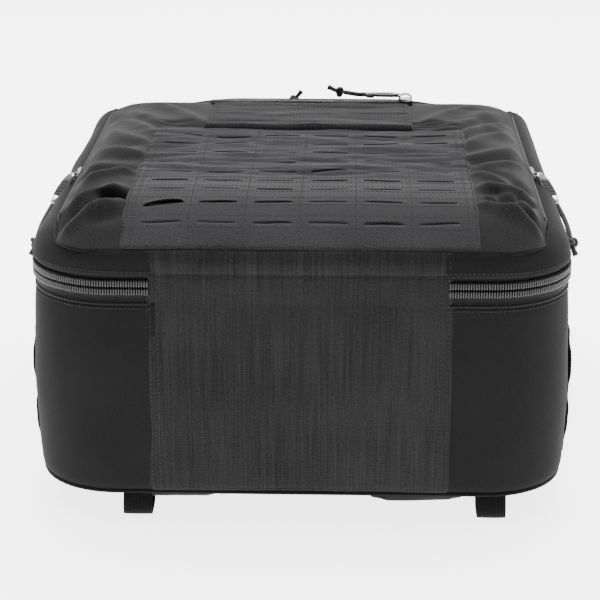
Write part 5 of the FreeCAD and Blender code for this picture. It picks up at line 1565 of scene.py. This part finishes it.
shortPulls = (
    ("main_left", (-62, coilFace + 6.5, zipMid + 3), (1, 0.12, 0.2), (0, 1, 0.1),
     ((-20, coilFace + 10.5, zipMid + 18),), (0.7, 0, 0.8)),
    ("main_right", (-45, coilFace + 6.5, zipMid - 3), (0, 0.05, -1), (0, 1, 0),
     ((-45.5, coilFace + 8.5, zipMid - 49), (-44, coilFace + 8, zipMid - 56)), (0.4, 0.1, -1)),
)
for name, pivot, direction, normal, cordPoints, tailWay in shortPulls:
    bodyName = name.replace("main_", "main_tab_")
    pullPiece(name + "_pull", pivot, direction, normal, bodyName)
    way = Vector(direction).normalized()
    start = Vector(pivot) + way * pullSize["reach"]
    route = [start - way * 2, start, start + way * pullSize["run"]] + [Vector(p) for p in cordPoints]
    cordPart = tubePiece(name + "_cord_part", curveThrough([tuple(p) for p in route], 20),
                         pullSize["cord"] / 2, cordNylon, 10)
    parts = [cordPart] + knotParts(name, tuple(route[-1]), route[-1] - route[-2], 4.0, tailWay)
    settle(joined(name + "_cord_knotted", parts), bodyName, [name + "_cord_end"])

upperLow, upperHigh = (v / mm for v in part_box("upper_slider"))
upperY = (upperLow.y + upperHigh.y) / 2
upperZ = upperLow.z
sliderPiece("upper_slider", (80, upperY, upperZ + 1.0), (0, 0, 1), (1, 0, 0), "upper_slide", 0.85)
pivot = (77, upperY, upperZ + 4.6)
pullPiece("upper_pull", pivot, (-1, 0.05, 0), (0, 0, 1), "upper_tab")
way = Vector((-1, 0.05, 0)).normalized()
start = Vector(pivot) + way * pullSize["reach"]
route = [start - way * 2, start, start + way * pullSize["run"], Vector((28, upperY + 6, upperZ + 5.4))]
parts = [tubePiece("upper_cord_part", curveThrough([tuple(p) for p in route], 20), pullSize["cord"] / 2,
                   cordNylon, 10)]
parts += knotParts("upper", tuple(route[-1]), route[-1] - route[-2], 5.0, (-0.8, 0.2, 0.35))
settle(joined("upper_cord_knotted", parts), "upper_tab", ["upper_cord_end"])

# The two pocket pulls hang over the sides; their cords are long enough to hang freely.
pocketFace = pocket["half"] + 2.5
pocketLevel = 202.5
for name, side, y0 in (("left", -1, -58.0), ("right", 1, -48.0)):
    y0 += shift
    sliderPiece(f"pocket_{name}_slider", (side * (pocketFace + 1.0), y0, pocketLevel), (side, 0, 0),
                (0, 1, 0), f"pocket_slide_{name}", 0.85)
    pivot = Vector(((pocketFace + 6.5) * side, y0 - 2, pocketLevel + 2))
    way = Vector((0.34 * side, -0.68, -0.52)).normalized()
    pullPiece(f"pocket_{name}_pull", tuple(pivot), tuple(way), (0.45 * side, -0.5, 0.8), f"pocket_tab_{name}")
    start = pivot + way * pullSize["reach"]
    bend = y0 - 35
    route = [start, start + way * pullSize["run"], Vector((195 * side, bend - 9, 176)),
             Vector((196 * side, bend - 21, 170))]
    curve = bpy.data.curves.new(f"pocket_{name}_cord_line", "CURVE")
    curve.dimensions = "3D"
    curve.bevel_depth = pullSize["cord"] / 2 * mm
    curve.bevel_resolution = 4
    curve.resolution_u = 16
    spline = curve.splines.new("NURBS")
    spline.points.add(len(route) - 1)
    for point, place in zip(spline.points, route):
        point.co = (*(place * mm), 1.0)
    spline.order_u = 3
    spline.use_endpoint_u = True
    curve.use_fill_caps = True
    curve.materials.append(cordNylon)
    cord = link(bpy.data.objects.new(f"pocket_{name}_cord_line", curve))
    settle(cord, f"pocket_tab_{name}", [f"pocket_{name}_cord"])
    knot = joined(f"pocket_{name}_knot_turns",
                  knotParts(f"pocket_{name}", tuple(route[-1]), route[-1] - route[-2], 4.5,
                                                         (0.3 * side, -0.5, -0.7)))
    settle(knot, f"pocket_tab_{name}", [f"pocket_{name}_knot"])
print("pulls ready")

# CAD nodes that stay as they are, sealed inside the back: only their finish is added.
for node, material in (("back_foam", closedFoam), ("frame_sheet", sheetPlastic)):
    cadNodes[node].data.materials.clear()
    cadNodes[node].data.materials.append(material)


# Floor, backdrop, light and camera.
stageLook = {"floor": "#fbfbfb", "glow": 3.6, "cameraLens": 115.4}
stageMaterial, _, stageShader = newMaterial("whitePaperSweep")
stageShader.inputs["Base Color"].default_value = linear(stageLook["floor"])
stageShader.inputs["Roughness"].default_value = 0.9
stageShader.inputs["Emission Color"].default_value = linear("#ffffff")
stageShader.inputs["Emission Strength"].default_value = stageLook["glow"]
floorMesh = bpy.data.meshes.new("floor")
rows = [[(-14.0, y, z), (14.0, y, z)] for y, z in
        [(-16.0, 0), (12.0, 0)] + [(12.0 + 0.8 * math.sin(a),
                                    0.8 - 0.8 * math.cos(a)) for a in np.linspace(0.1, math.pi / 2, 12)] +
        [(12.8, 6.0)]]
flat = [p for row in rows for p in row]
floorMesh.from_pydata(flat, [], gridFaces(len(rows), 2, flip=True))
floorMesh.shade_smooth()
floorMesh.materials.append(stageMaterial)
floor = link(bpy.data.objects.new("floor", floorMesh))

world = bpy.data.worlds.new("studio")
scene.world = world
world.use_nodes = True
background = world.node_tree.nodes["Background"]
background.inputs[0].default_value = linear("#ffffff")
background.inputs[1].default_value = 0.33


def areaLight(name, place, target, width, depth, power):
    light = bpy.data.lights.new(name, "AREA")
    light.shape = "RECTANGLE"
    light.size, light.size_y = width, depth
    light.energy = power
    obj = link(bpy.data.objects.new(name, light))
    obj.location = place
    obj.rotation_euler = (Vector(target) - Vector(place)).to_track_quat("-Z", "Y").to_euler()
    return obj


areaLight("topSoftbox", (0, 0.5, 1.9), (0, 0.05, 0.1), 2.6, 1.8, 90)
areaLight("leftSoftbox", (-1.7, 0.1, 1.1), (0, 0, 0.15), 1.2, 1.2, 5)
areaLight("rightSoftbox", (1.7, 0.1, 1.1), (0, 0, 0.15), 1.2, 1.2, 5)
areaLight("backdropWash", (0, 0.9, 2.4), (0, 1.6, 0.0), 3.0, 1.0, 60)

cameraData = bpy.data.cameras.new("camera")
cameraData.lens = stageLook["cameraLens"]
cameraData.sensor_width = 36
camera = link(bpy.data.objects.new("camera", cameraData))
camera.location = (0.035, -1.4805, 0.583)
camera.rotation_euler = (math.radians(71.2), 0, math.radians(1.6))
scene.camera = camera
print("stage ready")
